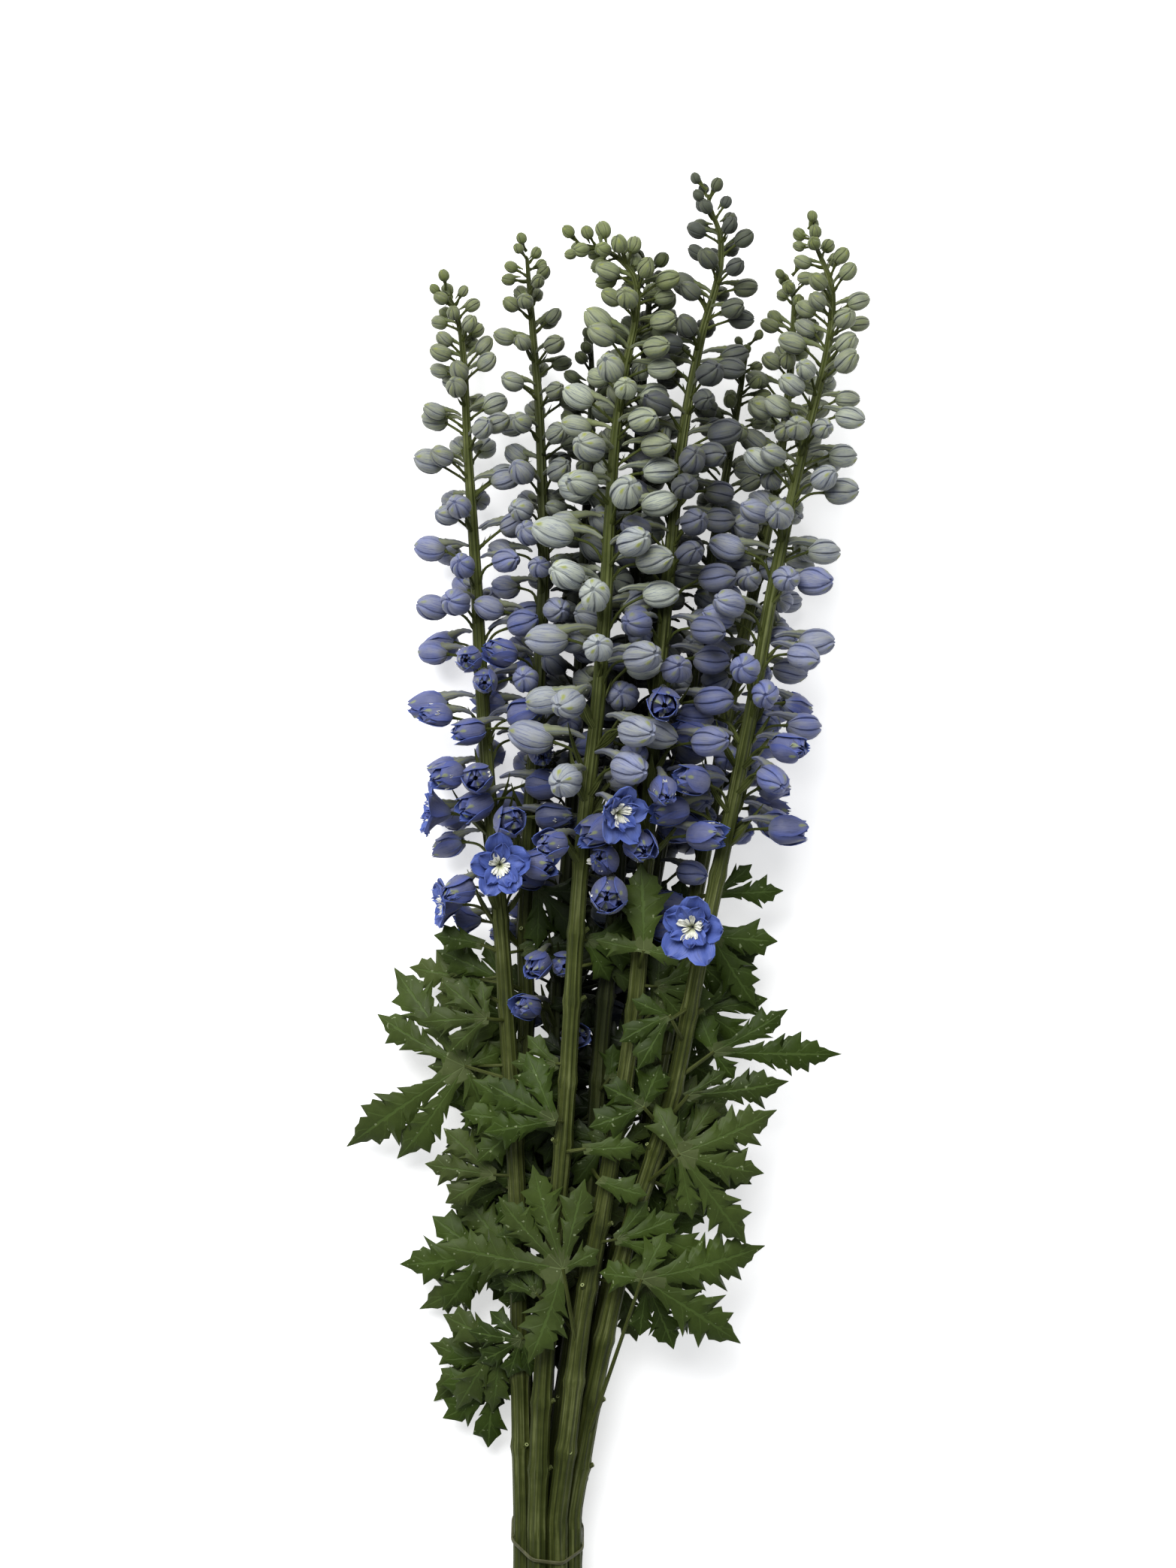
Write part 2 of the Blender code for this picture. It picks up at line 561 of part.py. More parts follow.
def grow_bunch():
    """The whole bunch: its stalks, leaves and florets, none of them through another."""
    room = Room()
    stalks = []
    for number, (name, facts) in enumerate(STEMS.items()):
        stalk = Stalk(name, facts, random.Random(BUNCH_SEED * 7 + number))
        stalks.append(stalk)
        for a, b in zip(stalk.at[:-1:2], stalk.at[2::2]):
            room.take([(stalk.point(a), stalk.point(b), stalk.radius(a))], name)
    leaves = place_leaves(stalks, room)
    return stalks, leaves, place_florets(stalks, room)


def as_object(name, bm):
    bmesh.ops.recalc_face_normals(bm, faces=bm.faces)
    mesh = bpy.data.meshes.new(name)
    bm.to_mesh(mesh)
    bm.free()
    thing = bpy.data.objects.new(name, mesh)
    bpy.context.collection.objects.link(thing)
    return thing


def solid(points, faces):
    """A closed mesh from points in millimetres."""
    bm = bmesh.new()
    made = [bm.verts.new(p * MM) for p in np.array(points, float) - FRAME_MIDDLE]
    for face in faces:
        bm.faces.new([made[i] for i in face])
    return bm


def bridge(a, b):
    """Quads between two rings of as many points."""
    n = len(a)
    return [(a[i], a[(i + 1) % n], b[(i + 1) % n], b[i]) for i in range(n)]


def ring(centre, axis, up, radius, sides, turn=0.0):
    across = np.cross(axis, up)
    angles = [2 * math.pi * k / sides + turn for k in range(sides)]
    return [centre + (up * math.cos(a) + across * math.sin(a)) * radius for a in angles]


def tube(points, radii, sides):
    """A tube along points, with a flat side of it facing sideways."""
    points = [np.array(p, float) for p in points]
    rows, faces = [], []
    for i, centre in enumerate(points):
        ahead = unit(points[min(i + 1, len(points) - 1)] - points[max(i - 1, 0)])
        up = unit(np.cross(ahead, [0, 0, 1.0]))
        rows += ring(centre, ahead, up, radii[i], sides, math.pi / sides)
    for i in range(len(points) - 1):
        faces += bridge(range(i * sides, i * sides + sides), range(i * sides + sides, i * sides + 2 * sides))
    faces.append(tuple(range(sides)))
    faces.append(tuple(range(len(rows) - sides, len(rows))))
    return solid(rows, faces)


def add_pedicel(rows, faces, floret, last):
    """The thin stalk of a floret, from a triangle of points that is already there to inside the stalk."""
    turns = [floret.bend, floret.root] if floret.bends() else [floret.root]
    ahead = unit(floret.bend - floret.root)
    for centre in turns:
        new = range(len(rows), len(rows) + 3)
        over = unit(floret.up - ahead * (floret.up @ ahead))
        rows += ring(centre, ahead, over, PEDICEL_RADIUS, 3, math.pi)
        faces += bridge(last, new)
        last = new
    faces.append(tuple(last))


def bud_solid(floret):
    """A bud in flat faces with its spur and pedicel."""
    long, wide = floret.size
    axis, up = floret.axis, floret.up
    sides = BUD_SIDES
    outline = SMALL_BUD_RINGS if long < SMALL_BUD else BUD_RINGS
    if floret.kind == "opening":
        outline = OPENING_RINGS
    rows, faces = [], []
    for t, r in outline:
        rows += ring(floret.base + axis * t * long, axis, up, r * wide, sides)
    for i in range(len(outline) - 1):
        faces += bridge(range(i * sides, i * sides + sides), range(i * sides + sides, i * sides + 2 * sides))
    tip = len(rows)
    rows.append(floret.base + axis * long * (MOUTH_DEPTH if floret.kind == "opening" else 1.0))
    faces += [(tip - sides + k, tip - sides + (k + 1) % sides, tip) for k in range(sides)]
    if floret.has_spur():
        rows.append(floret.spur()[2])
        faces += [(sides - 1, 0, tip + 1), (0, 1, tip + 1), (1, sides - 1, tip + 1)]
    else:
        faces.append((sides - 1, 0, 1))
    add_neck(rows, faces, floret, sides)
    return solid(rows, faces)


def add_neck(rows, faces, floret, sides):
    """Narrows the bud's base, all but the side that its spur is on, to the pedicel."""
    neck = len(rows)
    base = floret.base - floret.up * NECK_DROP
    rows += ring(base, floret.axis, floret.up, PEDICEL_RADIUS * NECK_SWELL, 3, math.pi)
    faces += [(1, 2, neck + 2), (2, neck, neck + 2), (2, 3, neck), (3, neck + 1, neck)]
    if sides == BLOOM_SEPALS:
        faces.append((3, 4, neck + 1))
    faces.append((sides - 1, 1, neck + 2, neck + 1))
    add_pedicel(rows, faces, floret, range(neck, neck + 3))


def lobe_faces(faces, centre, start, rows, end, stop):
    """One face of a lobe, from the blade's middle out: its cuts, its rows of right, rib, left, its tip."""
    right, rib, left = rows[0]
    faces += [(centre[0], start, right), (centre[0], right, rib)]
    faces += [(centre[1], rib, left), (centre[1], left, stop)]
    if centre[0] != centre[1]:
        faces.append((centre[0], rib, centre[1]))
    for (r1, m1, l1), (r2, m2, l2) in zip(rows[:-1], rows[1:]):
        faces += [(r1, r2, m2), (r1, m2, m1), (m1, m2, l2), (m1, l2, l1)]
    faces += [(rows[-1][0], end, rows[-1][1]), (rows[-1][1], end, rows[-1][2])]


def lobe_rim(start, rows, end):
    return [start, *[row[0] for row in rows], end, *[row[2] for row in reversed(rows)]]


def wall(faces, rim, count, closed):
    """Joins a blade's two faces along its rim."""
    after = rim[1:] + rim[:1] if closed else rim[1:]
    for a, b in zip(rim, after):
        faces += [(a, b, b + count), (a, b + count, a + count)]


def leaf_solid(leaf):
    """A leaf's lobed blade, with the petiole drawn out of its back between the first lobe and the last."""
    upper, faces, rim = [leaf.base - [0, 0, HUB_DIP]], [], []

    def put(point):
        upper.append(point)
        return len(upper) - 1

    cuts = [put(leaf.notch(i)) for i in range(len(leaf.lobes) + 1)]
    for i, (_, length, _) in enumerate(leaf.lobes):
        shares = LOBE_ROWS if length > SHORT_LOBE else SHORT_LOBE_ROWS
        rows = []
        for t in shares:
            rows.append([put(leaf.margin(i, t, -1)), put(leaf.midrib(i, t)), put(leaf.margin(i, t, 1))])
        end = put(leaf.midrib(i, 1.0))
        lobe_faces(faces, (0, 0), cuts[i], rows, end, cuts[i + 1])
        rim += lobe_rim(cuts[i], rows, end)
    faces.append((0, cuts[-1], cuts[0]))
    rim.append(cuts[-1])
    count = len(upper)
    half = np.array([0, 0, BLADE_THICKNESS / 2])
    rows = [p + half for p in upper] + [p - half for p in upper]
    faces += [tuple(i + count for i in reversed(face)) for face in faces]
    wall(faces, rim, count, False)
    back = (upper[cuts[0]] + upper[cuts[-1]]) / 2
    mouth = [cuts[-1], cuts[0], cuts[0] + count, cuts[-1] + count]
    along_petiole = [back + unit(back - leaf.base) * PETIOLE_START - [0, 0, PETIOLE_DROP], leaf.petiole[3],
                     leaf.petiole[0]]
    if np.linalg.norm(leaf.base - leaf.petiole[0]) < SHORT_PETIOLE:
        del along_petiole[1]
    across = unit(upper[cuts[0]] - upper[cuts[-1]])
    over = np.array([0, 0, 1.0])
    for i, centre in enumerate(along_petiole):
        behind = upper[0] if i == 0 else along_petiole[i - 1]
        beyond = along_petiole[min(i + 1, len(along_petiole) - 1)]
        ahead = unit(beyond - behind)
        over = unit(over - ahead * (over @ ahead))
        across = unit(across - ahead * (across @ ahead) - over * (across @ over))
        new = len(rows)
        rows += [centre - across * PETIOLE_HALF + over, centre + across * PETIOLE_HALF + over,
                 centre - over * PETIOLE_HALF]
        if i == 0:
            faces += [(mouth[0], mouth[1], new), (mouth[1], new + 1, new), (mouth[1], mouth[2], new + 1),
                      (mouth[2], new + 2, new + 1), (mouth[2], mouth[3], new + 2), (mouth[3], new, new + 2),
                      (mouth[3], mouth[0], new)]
        else:
            faces += bridge(range(new - 3, new), range(new, new + 3))
    faces.append((new, new + 1, new + 2))
    return solid(rows, faces)


def bloom_solid(floret):
    """An open bloom: a cup of five sepals drawn out of the neck, with the white bee raised in its middle."""
    long, _ = floret.size
    axis, up = floret.axis, floret.up
    across = np.cross(axis, up)

    def at(angle, spread, depth):
        way = up * math.cos(angle) + across * math.sin(angle)
        return floret.base + way * spread * long + axis * depth * long

    turns = [2 * math.pi * k / BLOOM_SEPALS for k in range(BLOOM_SEPALS)]
    neck = [at(turn, *BLOOM_NECK) for turn in turns]
    inner = [floret.base + axis * long * BLOOM_BEE]
    faces, rim = [], []
    cuts = range(1, BLOOM_SEPALS + 1)
    inner += [at(turn, *BLOOM_CUT) for turn in turns]
    lobes = []
    for turn in turns:
        middle = turn + math.pi / BLOOM_SEPALS
        lobes.append(([[len(inner), len(inner) + 1, len(inner) + 2]], len(inner) + 3))
        inner += [at(middle - SHOULDER_TURN, *BLOOM_SHOULDER), at(middle, *BLOOM_FOLD),
                  at(middle + SHOULDER_TURN, *BLOOM_SHOULDER), at(middle, BLOOM_SPREAD, BLOOM_DEPTH)]
    rows = neck + inner
    shift = BLOOM_SEPALS
    outer_at = shift + len(inner)
    rows += [p - axis * BLADE_THICKNESS * BLOOM_WALL for p in inner[1:]]

    def outside(i):
        return outer_at + i - 1

    for k, (sections, tip) in enumerate(lobes):
        start, stop = cuts[k], cuts[(k + 1) % BLOOM_SEPALS]
        inside_rows = [[i + shift for i in row] for row in sections]
        lobe_faces(faces, (shift, shift), start + shift, inside_rows, tip + shift, stop + shift)
        outside_rows = [[outside(i) for i in row] for row in sections]
        foot = (k, (k + 1) % BLOOM_SEPALS)
        lobe_faces(faces, foot, outside(start), outside_rows, outside(tip), outside(stop))
        rim += lobe_rim(start, sections, tip)
    for a, b in zip(rim, rim[1:] + rim[:1]):
        faces += [(a + shift, b + shift, outside(b)), (a + shift, outside(b), outside(a))]
    spur_tip = len(rows)
    rows.append(floret.spur()[2])
    faces += [(4, 0, spur_tip), (0, 1, spur_tip), (1, 4, spur_tip)]
    add_neck(rows, faces, floret, BLOOM_SEPALS)
    return solid(rows, faces)


def stalk_solid(stalk):
    """The stalk in STALK_SIDES flats, with a ring wherever its line has bent by STALK_BEND."""
    keep = {0, len(stalk.at) - 1}
    for edge in (-TIE_STRAIGHT, TIE_STRAIGHT):
        keep.add(int(np.argmin(abs(stalk.at - stalk.tie_at - edge))))
    while True:
        marks = sorted(keep)
        worst, where = STALK_BEND, None
        for a, b in zip(marks[:-1], marks[1:]):
            share = ((stalk.at[a:b] - stalk.at[a]) / (stalk.at[b] - stalk.at[a]))[:, None]
            straight = stalk.line[a] * (1 - share) + stalk.line[b] * share
            off = np.linalg.norm(stalk.line[a:b] - straight, axis=1)
            if off.max() > worst:
                worst, where = off.max(), a + int(off.argmax())
        if where is None:
            break
        keep.add(where)
    marks = stalk.at[sorted(keep)]
    return tube([stalk.point(s) for s in marks], [stalk.radius(s) for s in marks], STALK_SIDES)


def fuse(name, parts):
    """Joins overlapping closed solids into one body; the exact way takes many minutes over so many."""
    base, extra = parts[0], parts[1:]
    group = bpy.data.collections.new(name)
    for thing in extra:
        group.objects.link(thing)
    union = base.modifiers.new("fuse", "BOOLEAN")
    union.operation = "UNION"
    union.operand_type = "COLLECTION"
    union.collection = group
    union.solver = "MANIFOLD"
    bpy.context.view_layer.objects.active = base
    bpy.ops.object.modifier_apply(modifier="fuse")
    for thing in extra:
        bpy.data.objects.remove(thing)
    bpy.data.collections.remove(group)
    base.name = base.data.name = name
    return base


def press_on_table(thing):
    """Flattens what would dip below the table, as the weight of the bunch does."""
    for vertex in thing.data.vertices:
        vertex.co.z = max(vertex.co.z, 0.0)


def band_solid():
    """The rubber band: a flat loop drawn tight round the eight outer stalks and tipped with them."""
    reach = STALK_BASE_RADIUS + BAND_GAP
    inner, outer = [], []
    for k in range(8):
        middle = math.radians(22.5 + 45 * k)
        centre = TIE_RING * np.array([math.cos(middle), math.sin(middle)])
        for share in (-0.5, 0, 0.5):
            angle = middle + math.radians(45) * share
            way = np.array([math.cos(angle), math.sin(angle)])
            inner.append(centre + way * reach / math.cos(math.radians(11.25)) ** (share == 0))
            outer.append(centre + way * (reach + BAND_THICKNESS))
    rows, faces = [], []
    for loop, edge in ((inner, -1), (inner, 1), (outer, 1), (outer, -1)):
        for x, z in loop:
            tilt = -BAND_TIP * z - BAND_SIDE_TIP * x
            rows.append((TIE_X + x, BAND_Y + tilt + edge * BAND_WIDTH / 2, TIE_Z + z))
    count = len(inner)
    loops = [range(i * count, (i + 1) * count) for i in range(4)]
    for a, b in zip(loops, loops[1:] + loops[:1]):
        faces += bridge(a, b)
    return solid(rows, faces)


def paint(thing, colour, roughness):
    made = bpy.data.materials.new(thing.name)
    made.use_nodes = True
    shader = made.node_tree.nodes["Principled BSDF"]
    shader.inputs["Base Color"].default_value = (*colour, 1)
    shader.inputs["Roughness"].default_value = roughness
    thing.data.materials.clear()
    thing.data.materials.append(made)


stalks, leaves, florets = grow_bunch()
for stalk in stalks:
    parts = [as_object("stalk", stalk_solid(stalk))]
    for leaf in leaves:
        if leaf.stalk is stalk:
            parts.append(as_object("leaf", leaf_solid(leaf)))
    for floret in florets:
        if floret.stalk is stalk:
            made = bloom_solid(floret) if floret.kind == "bloom" else bud_solid(floret)
            parts.append(as_object("floret", made))
    whole = fuse(f"stem_{stalk.name}", parts)
    press_on_table(whole)
    tone = 1 - PALEST + PALEST * stalk.facts["pale"]
    paint(whole, [level * tone for level in BUD_GREY], STEM_ROUGHNESS)
band = as_object("rubber_band", band_solid())
press_on_table(band)
paint(band, BAND_OLIVE, BAND_ROUGHNESS)
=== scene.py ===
import math
import random

import bpy
import numpy as np
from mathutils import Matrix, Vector


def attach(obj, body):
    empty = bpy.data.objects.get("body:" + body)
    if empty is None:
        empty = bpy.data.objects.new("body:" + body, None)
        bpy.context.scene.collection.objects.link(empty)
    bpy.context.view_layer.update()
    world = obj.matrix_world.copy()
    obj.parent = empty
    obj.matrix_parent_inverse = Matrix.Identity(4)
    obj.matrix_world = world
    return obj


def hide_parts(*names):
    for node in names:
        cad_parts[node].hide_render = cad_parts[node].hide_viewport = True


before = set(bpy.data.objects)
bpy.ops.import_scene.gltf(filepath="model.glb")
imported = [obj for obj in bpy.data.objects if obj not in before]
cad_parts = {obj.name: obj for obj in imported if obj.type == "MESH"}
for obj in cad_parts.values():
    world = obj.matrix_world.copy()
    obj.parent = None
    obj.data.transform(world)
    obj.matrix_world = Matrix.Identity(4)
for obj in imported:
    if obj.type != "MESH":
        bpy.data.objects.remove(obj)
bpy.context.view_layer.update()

bpy.ops.object.select_all(action="DESELECT")

# The stalks. Nine cut delphinium stems, hollow, ribbed and a little swollen where each leaf left them. They
# grew as one piece each. They run side by side through the tie and fan out towards their flower spikes.
MM = 0.001  # every length below is in millimetres, and a mesh is made in metres

# The bunch lies along Y with its tips at +Y, its cut ends at -Y and the table at Z = 0.
FRAME_MIDDLE = np.array([11.8, 5.2, 0.0])  # the middle of the bunch, where the frame's origin is
TIE_Y = -396.0
TIE_X = -27.75
TIE_Z = 24.5
TIE_RING = 17.8  # from the middle of the tie to the stalks round it
STALK_BASE_RADIUS = 6.6
CUT_END_Y = -509.0
TIE_STRAIGHT = 17.0  # the stalks run side by side this far each way from the tie
FLARE_BELOW_TIE = 1.12

# Each stem: its place in the tie (degrees round the ring, or None for the middle), the points that its
# stalk passes from the tie to the tip, where its flowers start, how many it has and how ripe they are.
STEMS = {
    "front": dict(
        tie=112.5, flowers_from=88, count=38, ripe=0.62, size=1.08, pale=0.85,
        way=[(-31, -291, 48), (-23, -191, 56), (-16, -116, 64), (-12, -50, 72), (-8, 20, 82), (-2, 94, 94),
             (6, 164, 102), (11, 234, 104), (17, 334, 100), (24, 384, 98), (31, 419, 96), (30, 444, 94),
             (15, 460, 92), (-8, 467, 90)],
    ),
    "right": dict(
        tie=22.5, flowers_from=74, count=38, ripe=0.78, size=0.98, pale=0.55,
        way=[(-3, -331, 35), (6, -281, 40), (18, -226, 46), (26, -191, 50), (54, -101, 62), (74, -1, 74),
             (94, 94, 82), (108, 164, 84), (121, 239, 82), (143, 339, 76), (158, 399, 72), (161, 440, 70),
             (152, 466, 66), (145, 481, 64)],
    ),
    "left": dict(
        tie=157.5, flowers_from=26, count=37, ripe=1.0, size=1.0, pale=0.3,
        way=[(-46, -291, 34), (-48, -166, 42), (-54, -56, 47), (-60, 34, 49), (-67, 109, 48), (-72, 184, 46),
             (-76, 259, 44), (-81, 334, 43), (-85, 409, 40), (-91, 434, 38), (-97, 445, 37)],
    ),
    "dark": dict(
        tie=67.5, flowers_from=84, count=37, ripe=0.74, size=1.0, pale=0.1,
        way=[(-13, -316, 49), (-4, -241, 55), (10, -166, 60), (30, -41, 69), (39, 84, 82), (42, 134, 86),
             (51, 234, 88), (61, 334, 84), (74, 406, 80), (86, 449, 76), (87, 474, 74), (80, 495, 71),
             (79, 507, 70)],
    ),
    "left_low": dict(
        tie=202.5, flowers_from=50, count=31, ripe=0.86, size=0.95, pale=0.4,
        way=[(-44, -316, 19), (-46, -216, 22), (-45, -116, 24), (-42, -41, 26), (-43, 9, 32), (-41, 59, 38),
             (-38, 109, 44), (-34, 159, 47), (-32, 209, 48), (-30, 259, 48), (-33, 359, 44), (-37, 409, 42),
             (-41, 459, 40), (-42, 471, 40)],
    ),
    "middle": dict(
        tie=None, flowers_from=20, count=25, ripe=0.8, size=1.12, pale=0.7,
        way=[(-19, -316, 27), (-9, -241, 33), (2, -141, 42), (10, -41, 50), (18, 34, 57), (23, 109, 62),
             (27, 184, 64), (31, 259, 64), (33, 334, 62), (37, 394, 62), (40, 434, 64), (37, 462, 66)],
    ),
    "right_low": dict(
        tie=337.5, flowers_from=62, count=28, ripe=0.76, size=0.95, pale=0.45,
        way=[(-1, -316, 19), (11, -241, 23), (26, -176, 27), (42, -106, 33), (55, -41, 37), (66, 9, 39),
             (76, 59, 41), (86, 114, 42), (94, 164, 43), (110, 239, 43), (124, 304, 41), (134, 374, 39),
             (138, 434, 37), (136, 455, 36)],
    ),
    "back_left": dict(
        tie=247.5, flowers_from=-62, count=20, ripe=0.92, size=0.9, pale=0.6,
        way=[(-31, -316, 10), (-27, -216, 13), (-23, -116, 18), (-20, -16, 26), (-14, 59, 32), (-9, 134, 37),
             (-5, 209, 39), (-2, 284, 40), (1, 334, 39), (2, 384, 37), (1, 421, 36)],
    ),
    "back_right": dict(
        tie=292.5, flowers_from=30, count=19, ripe=0.72, size=0.85, pale=0.5,
        way=[(-12, -316, 10), (3, -216, 14), (18, -116, 20), (33, -16, 29), (51, 84, 36), (66, 159, 40),
             (77, 234, 42), (86, 284, 42), (98, 354, 40), (107, 408, 38)],
    ),
}

# How a stalk thins from the tie (0) to the tip (1).
STALK_TAPER = [(0, 6.6), (0.06, 6.6), (0.45, 5.4), (0.7, 4.4), (0.85, 3.2), (0.95, 2.2), (1, 1.1)]


BUNCH_SEED = 41
MIDDLE_STALK = np.array([0.0, -4.9])  # the one inside the ring of the others, across and up from its centre
CUT_SCATTER = 16.0  # how far apart the cut ends lie
PATH_STEP = 5.0
CURVE_STEPS = 24
LOOK_AHEAD = 4.0


def along(table, t):
    """A table's value at t, straight between its rows."""
    return float(np.interp(t, *np.transpose(table)))


def unit(v):
    return v / np.linalg.norm(v)


def around(a, b, turn):
    """The way that lies turn radians from a towards b."""
    return a * math.cos(turn) + b * math.sin(turn)


def sides_of(ahead):
    """Level across the way ahead, and over it."""
    side = unit(np.cross(ahead, [0, 0, 1.0]))
    return side, np.cross(side, ahead)


def run_along(points):
    """How far along a line each of its points is."""
    return np.concatenate([[0], np.cumsum(np.linalg.norm(np.diff(points, axis=0), axis=1))])


def smooth_path(points, step):
    """Points every step along a Catmull-Rom curve through the given ones."""
    p = np.array(points, float)
    p = np.vstack([2 * p[0] - p[1], p, 2 * p[-1] - p[-2]])
    fine = []
    for i in range(1, len(p) - 2):
        a, b, c, d = p[i - 1 : i + 3]
        span = np.linalg.norm(c - b)
        before = (c - a) * span / (np.linalg.norm(b - a) + span)
        after = (d - b) * span / (span + np.linalg.norm(d - c))
        for t in np.linspace(0, 1, CURVE_STEPS, endpoint=False):
            fine.append(
                (2 * t**3 - 3 * t**2 + 1) * b + (t**3 - 2 * t**2 + t) * before
                + (3 * t**2 - 2 * t**3) * c + (t**3 - t**2) * after
            )
    fine = np.array([*fine, p[-2]])
    length = run_along(fine)
    wanted = np.linspace(0, length[-1], max(2, round(length[-1] / step) + 1))
    return np.column_stack([np.interp(wanted, length, fine[:, k]) for k in range(3)])


class Stalk:
    """A stem's centre line from its cut end to its tip, with its thickness."""

    def __init__(self, name, facts, draw):
        middle = MIDDLE_STALK
        if facts["tie"] is not None:
            middle = TIE_RING * around(*np.eye(2), math.radians(facts["tie"]))
        x, z = TIE_X + middle[0], TIE_Z + middle[1]
        cut = (TIE_X + middle[0] * FLARE_BELOW_TIE, CUT_END_Y + draw.uniform(0, CUT_SCATTER), z)
        ties = [(x, TIE_Y + TIE_STRAIGHT * share, z) for share in (-1, -0.5, 0, 0.5, 1)]
        self.name, self.facts = name, facts
        self.line = smooth_path([cut, *ties, *facts["way"]], PATH_STEP)
        self.at = run_along(self.line)
        self.length = self.at[-1]
        self.tie_at = self.at_y(TIE_Y)
        self.flowers_at = self.at[np.argmax(self.line[:, 1] > facts["flowers_from"])]

    def point(self, s):
        return np.array([np.interp(s, self.at, self.line[:, k]) for k in range(3)])

    def direction(self, s):
        return unit(self.point(min(s + LOOK_AHEAD, self.length)) - self.point(max(s - LOOK_AHEAD, 0)))

    def radius(self, s):
        return along(STALK_TAPER, max(0, s - self.tie_at) / (self.length - self.tie_at))

    def at_y(self, y):
        return float(self.at[np.argmin(abs(self.line[:, 1] - y))])


stalks = [
    Stalk(name, facts, random.Random(BUNCH_SEED * 7 + number))
    for number, (name, facts) in enumerate(STEMS.items())
]

# How far the light gets into the bunch: by Y, its middle, its half width, its lower level and its height.
HEART_REACH = np.array([(-400, 8), (-250, 14), (-150, 30), (60, 34), (350, 24), (500, 12)]).T
LOWEST_HEART = 4.0
BELOW_MEAN = 12.0
heart = []
for y in np.arange(-510.0, 515.0, 20.0):
    inside = [stalk.point(stalk.at_y(y)) for stalk in stalks if stalk.point(stalk.length)[1] > y - 10]
    if inside:
        x, _, z = np.array(inside).T
        spread = np.interp(y, *HEART_REACH)
        low = max(LOWEST_HEART, z.mean() - BELOW_MEAN)
        heart.append((y, (x.min() + x.max()) / 2, np.ptp(x) / 2 + spread, low, z.max() - low + spread * 0.55))
heart = np.array(heart).T


def openness(points):
    """How much light reaches these points: 0 in the heart of the bunch, 1 on its outside."""
    middle, wide, low, tall = (np.interp(points[:, 1], heart[0], row) for row in heart[1:])
    away = np.hypot((points[:, 0] - middle) / wide, np.maximum(points[:, 2] - low, 0) / tall)
    share = np.clip((away - 0.2) / 0.55, 0, 1)
    return share * share * (3 - 2 * share)


FLOOR_CLEAR = 0.15  # mm that everything stays above the table
SMOOTH_UP_TO = math.radians(50)


def set_out(name, data):
    """A new object, selected and active."""
    made = bpy.data.objects.new(name, data)
    bpy.context.collection.objects.link(made)
    bpy.context.view_layer.objects.active = made
    made.select_set(True)
    return made


class Growth:
    """Points, faces and marks for one piece, gathered copy by copy, in millimetres."""

    def __init__(self):
        self.points, self.faces, self.uvs, self.marks = [], [], [], []
        self.count = 0

    def add(self, points, faces, uvs, mark):
        """faces: rows of corner numbers, all as long; uvs: a pair for each corner; mark: three numbers."""
        self.points.append(np.asarray(points, float))
        self.faces.append(np.asarray(faces, int) + self.count)
        self.uvs.append(np.asarray(uvs, float))
        self.marks.append(np.tile(np.append(mark, 1.0), (len(points), 1)))
        self.count += len(points)

    def make(self, name, finishes, node, slot, thickness=0.0, weld=0.0, rim=0):
        """The finished piece: its mesh in place, its finishes, and the stem that it stands for."""
        points = np.concatenate(self.points)
        marks = np.concatenate(self.marks)
        # the alpha mark: how much light reaches each point, which the finishes turn into painted shade
        marks[:, 3] = openness(points)
        points = (points - FRAME_MIDDLE) * MM
        points[:, 2] = np.maximum(points[:, 2], (FLOOR_CLEAR + thickness / 2) * MM)
        mesh = bpy.data.meshes.new(name)
        mesh.from_pydata(points.tolist(), [], [tuple(row) for block in self.faces for row in block])
        corners = np.concatenate([block.reshape(-1, 2) for block in self.uvs])
        mesh.uv_layers.new(name="growth_map").data.foreach_set("uv", corners.ravel())
        mesh.attributes.new("growth", "FLOAT_COLOR", "POINT").data.foreach_set("color", marks.ravel())
        for finish in finishes:
            mesh.materials.append(finish)
        piece = set_out(name, mesh)
        if weld:
            bpy.ops.object.mode_set(mode="EDIT")
            bpy.ops.mesh.select_all(action="SELECT")
            bpy.ops.mesh.remove_doubles(threshold=weld * MM)
            bpy.ops.object.mode_set(mode="OBJECT")
        if thickness:
            wall = piece.modifiers.new("wall", "SOLIDIFY")
            wall.thickness = thickness * MM
            wall.offset = 0.0
            wall.material_offset = rim
            wall.material_offset_rim = rim
            bpy.ops.object.modifier_apply(modifier="wall")
        bpy.ops.object.shade_smooth_by_angle(angle=SMOOTH_UP_TO)
        piece.select_set(False)
        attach(piece, "root")
        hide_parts(node)


def grid_faces(rows, columns, wrap=False):
    """Quads over a grid of points, each row after the other, with their corners' places from 0 to 1."""
    faces, uvs = [], []
    last = columns if wrap else columns - 1
    for i in range(rows - 1):
        for j in range(last):
            k = (j + 1) % columns
            faces.append((i * columns + j, i * columns + k, (i + 1) * columns + k, (i + 1) * columns + j))
            u, v = (j / last, (j + 1) / last), (i / (rows - 1), (i + 1) / (rows - 1))
            uvs.append(((u[0], v[0]), (u[1], v[0]), (u[1], v[1]), (u[0], v[1])))
    return np.array(faces), np.array(uvs)


def taper(line, at, thick):
    """A radius for each point of a line, from the radii at some shares of its way."""
    return np.interp(np.linspace(0, 1, len(line)), at, thick)


def turned_frames(points, over):
    """Along a line of points: the ways across and over it, without a sudden turn."""
    ahead = np.gradient(points, axis=0)
    ahead /= np.linalg.norm(ahead, axis=1)[:, None]
    overs = []
    for way in ahead:
        over = unit(over - way * (over @ way))
        overs.append(over)
    return np.cross(overs, ahead), np.array(overs)


CUT_FACE = -1.0  # across the map on a tube's ends, where along it runs from the middle to the rim
END_BULGE = 0.02


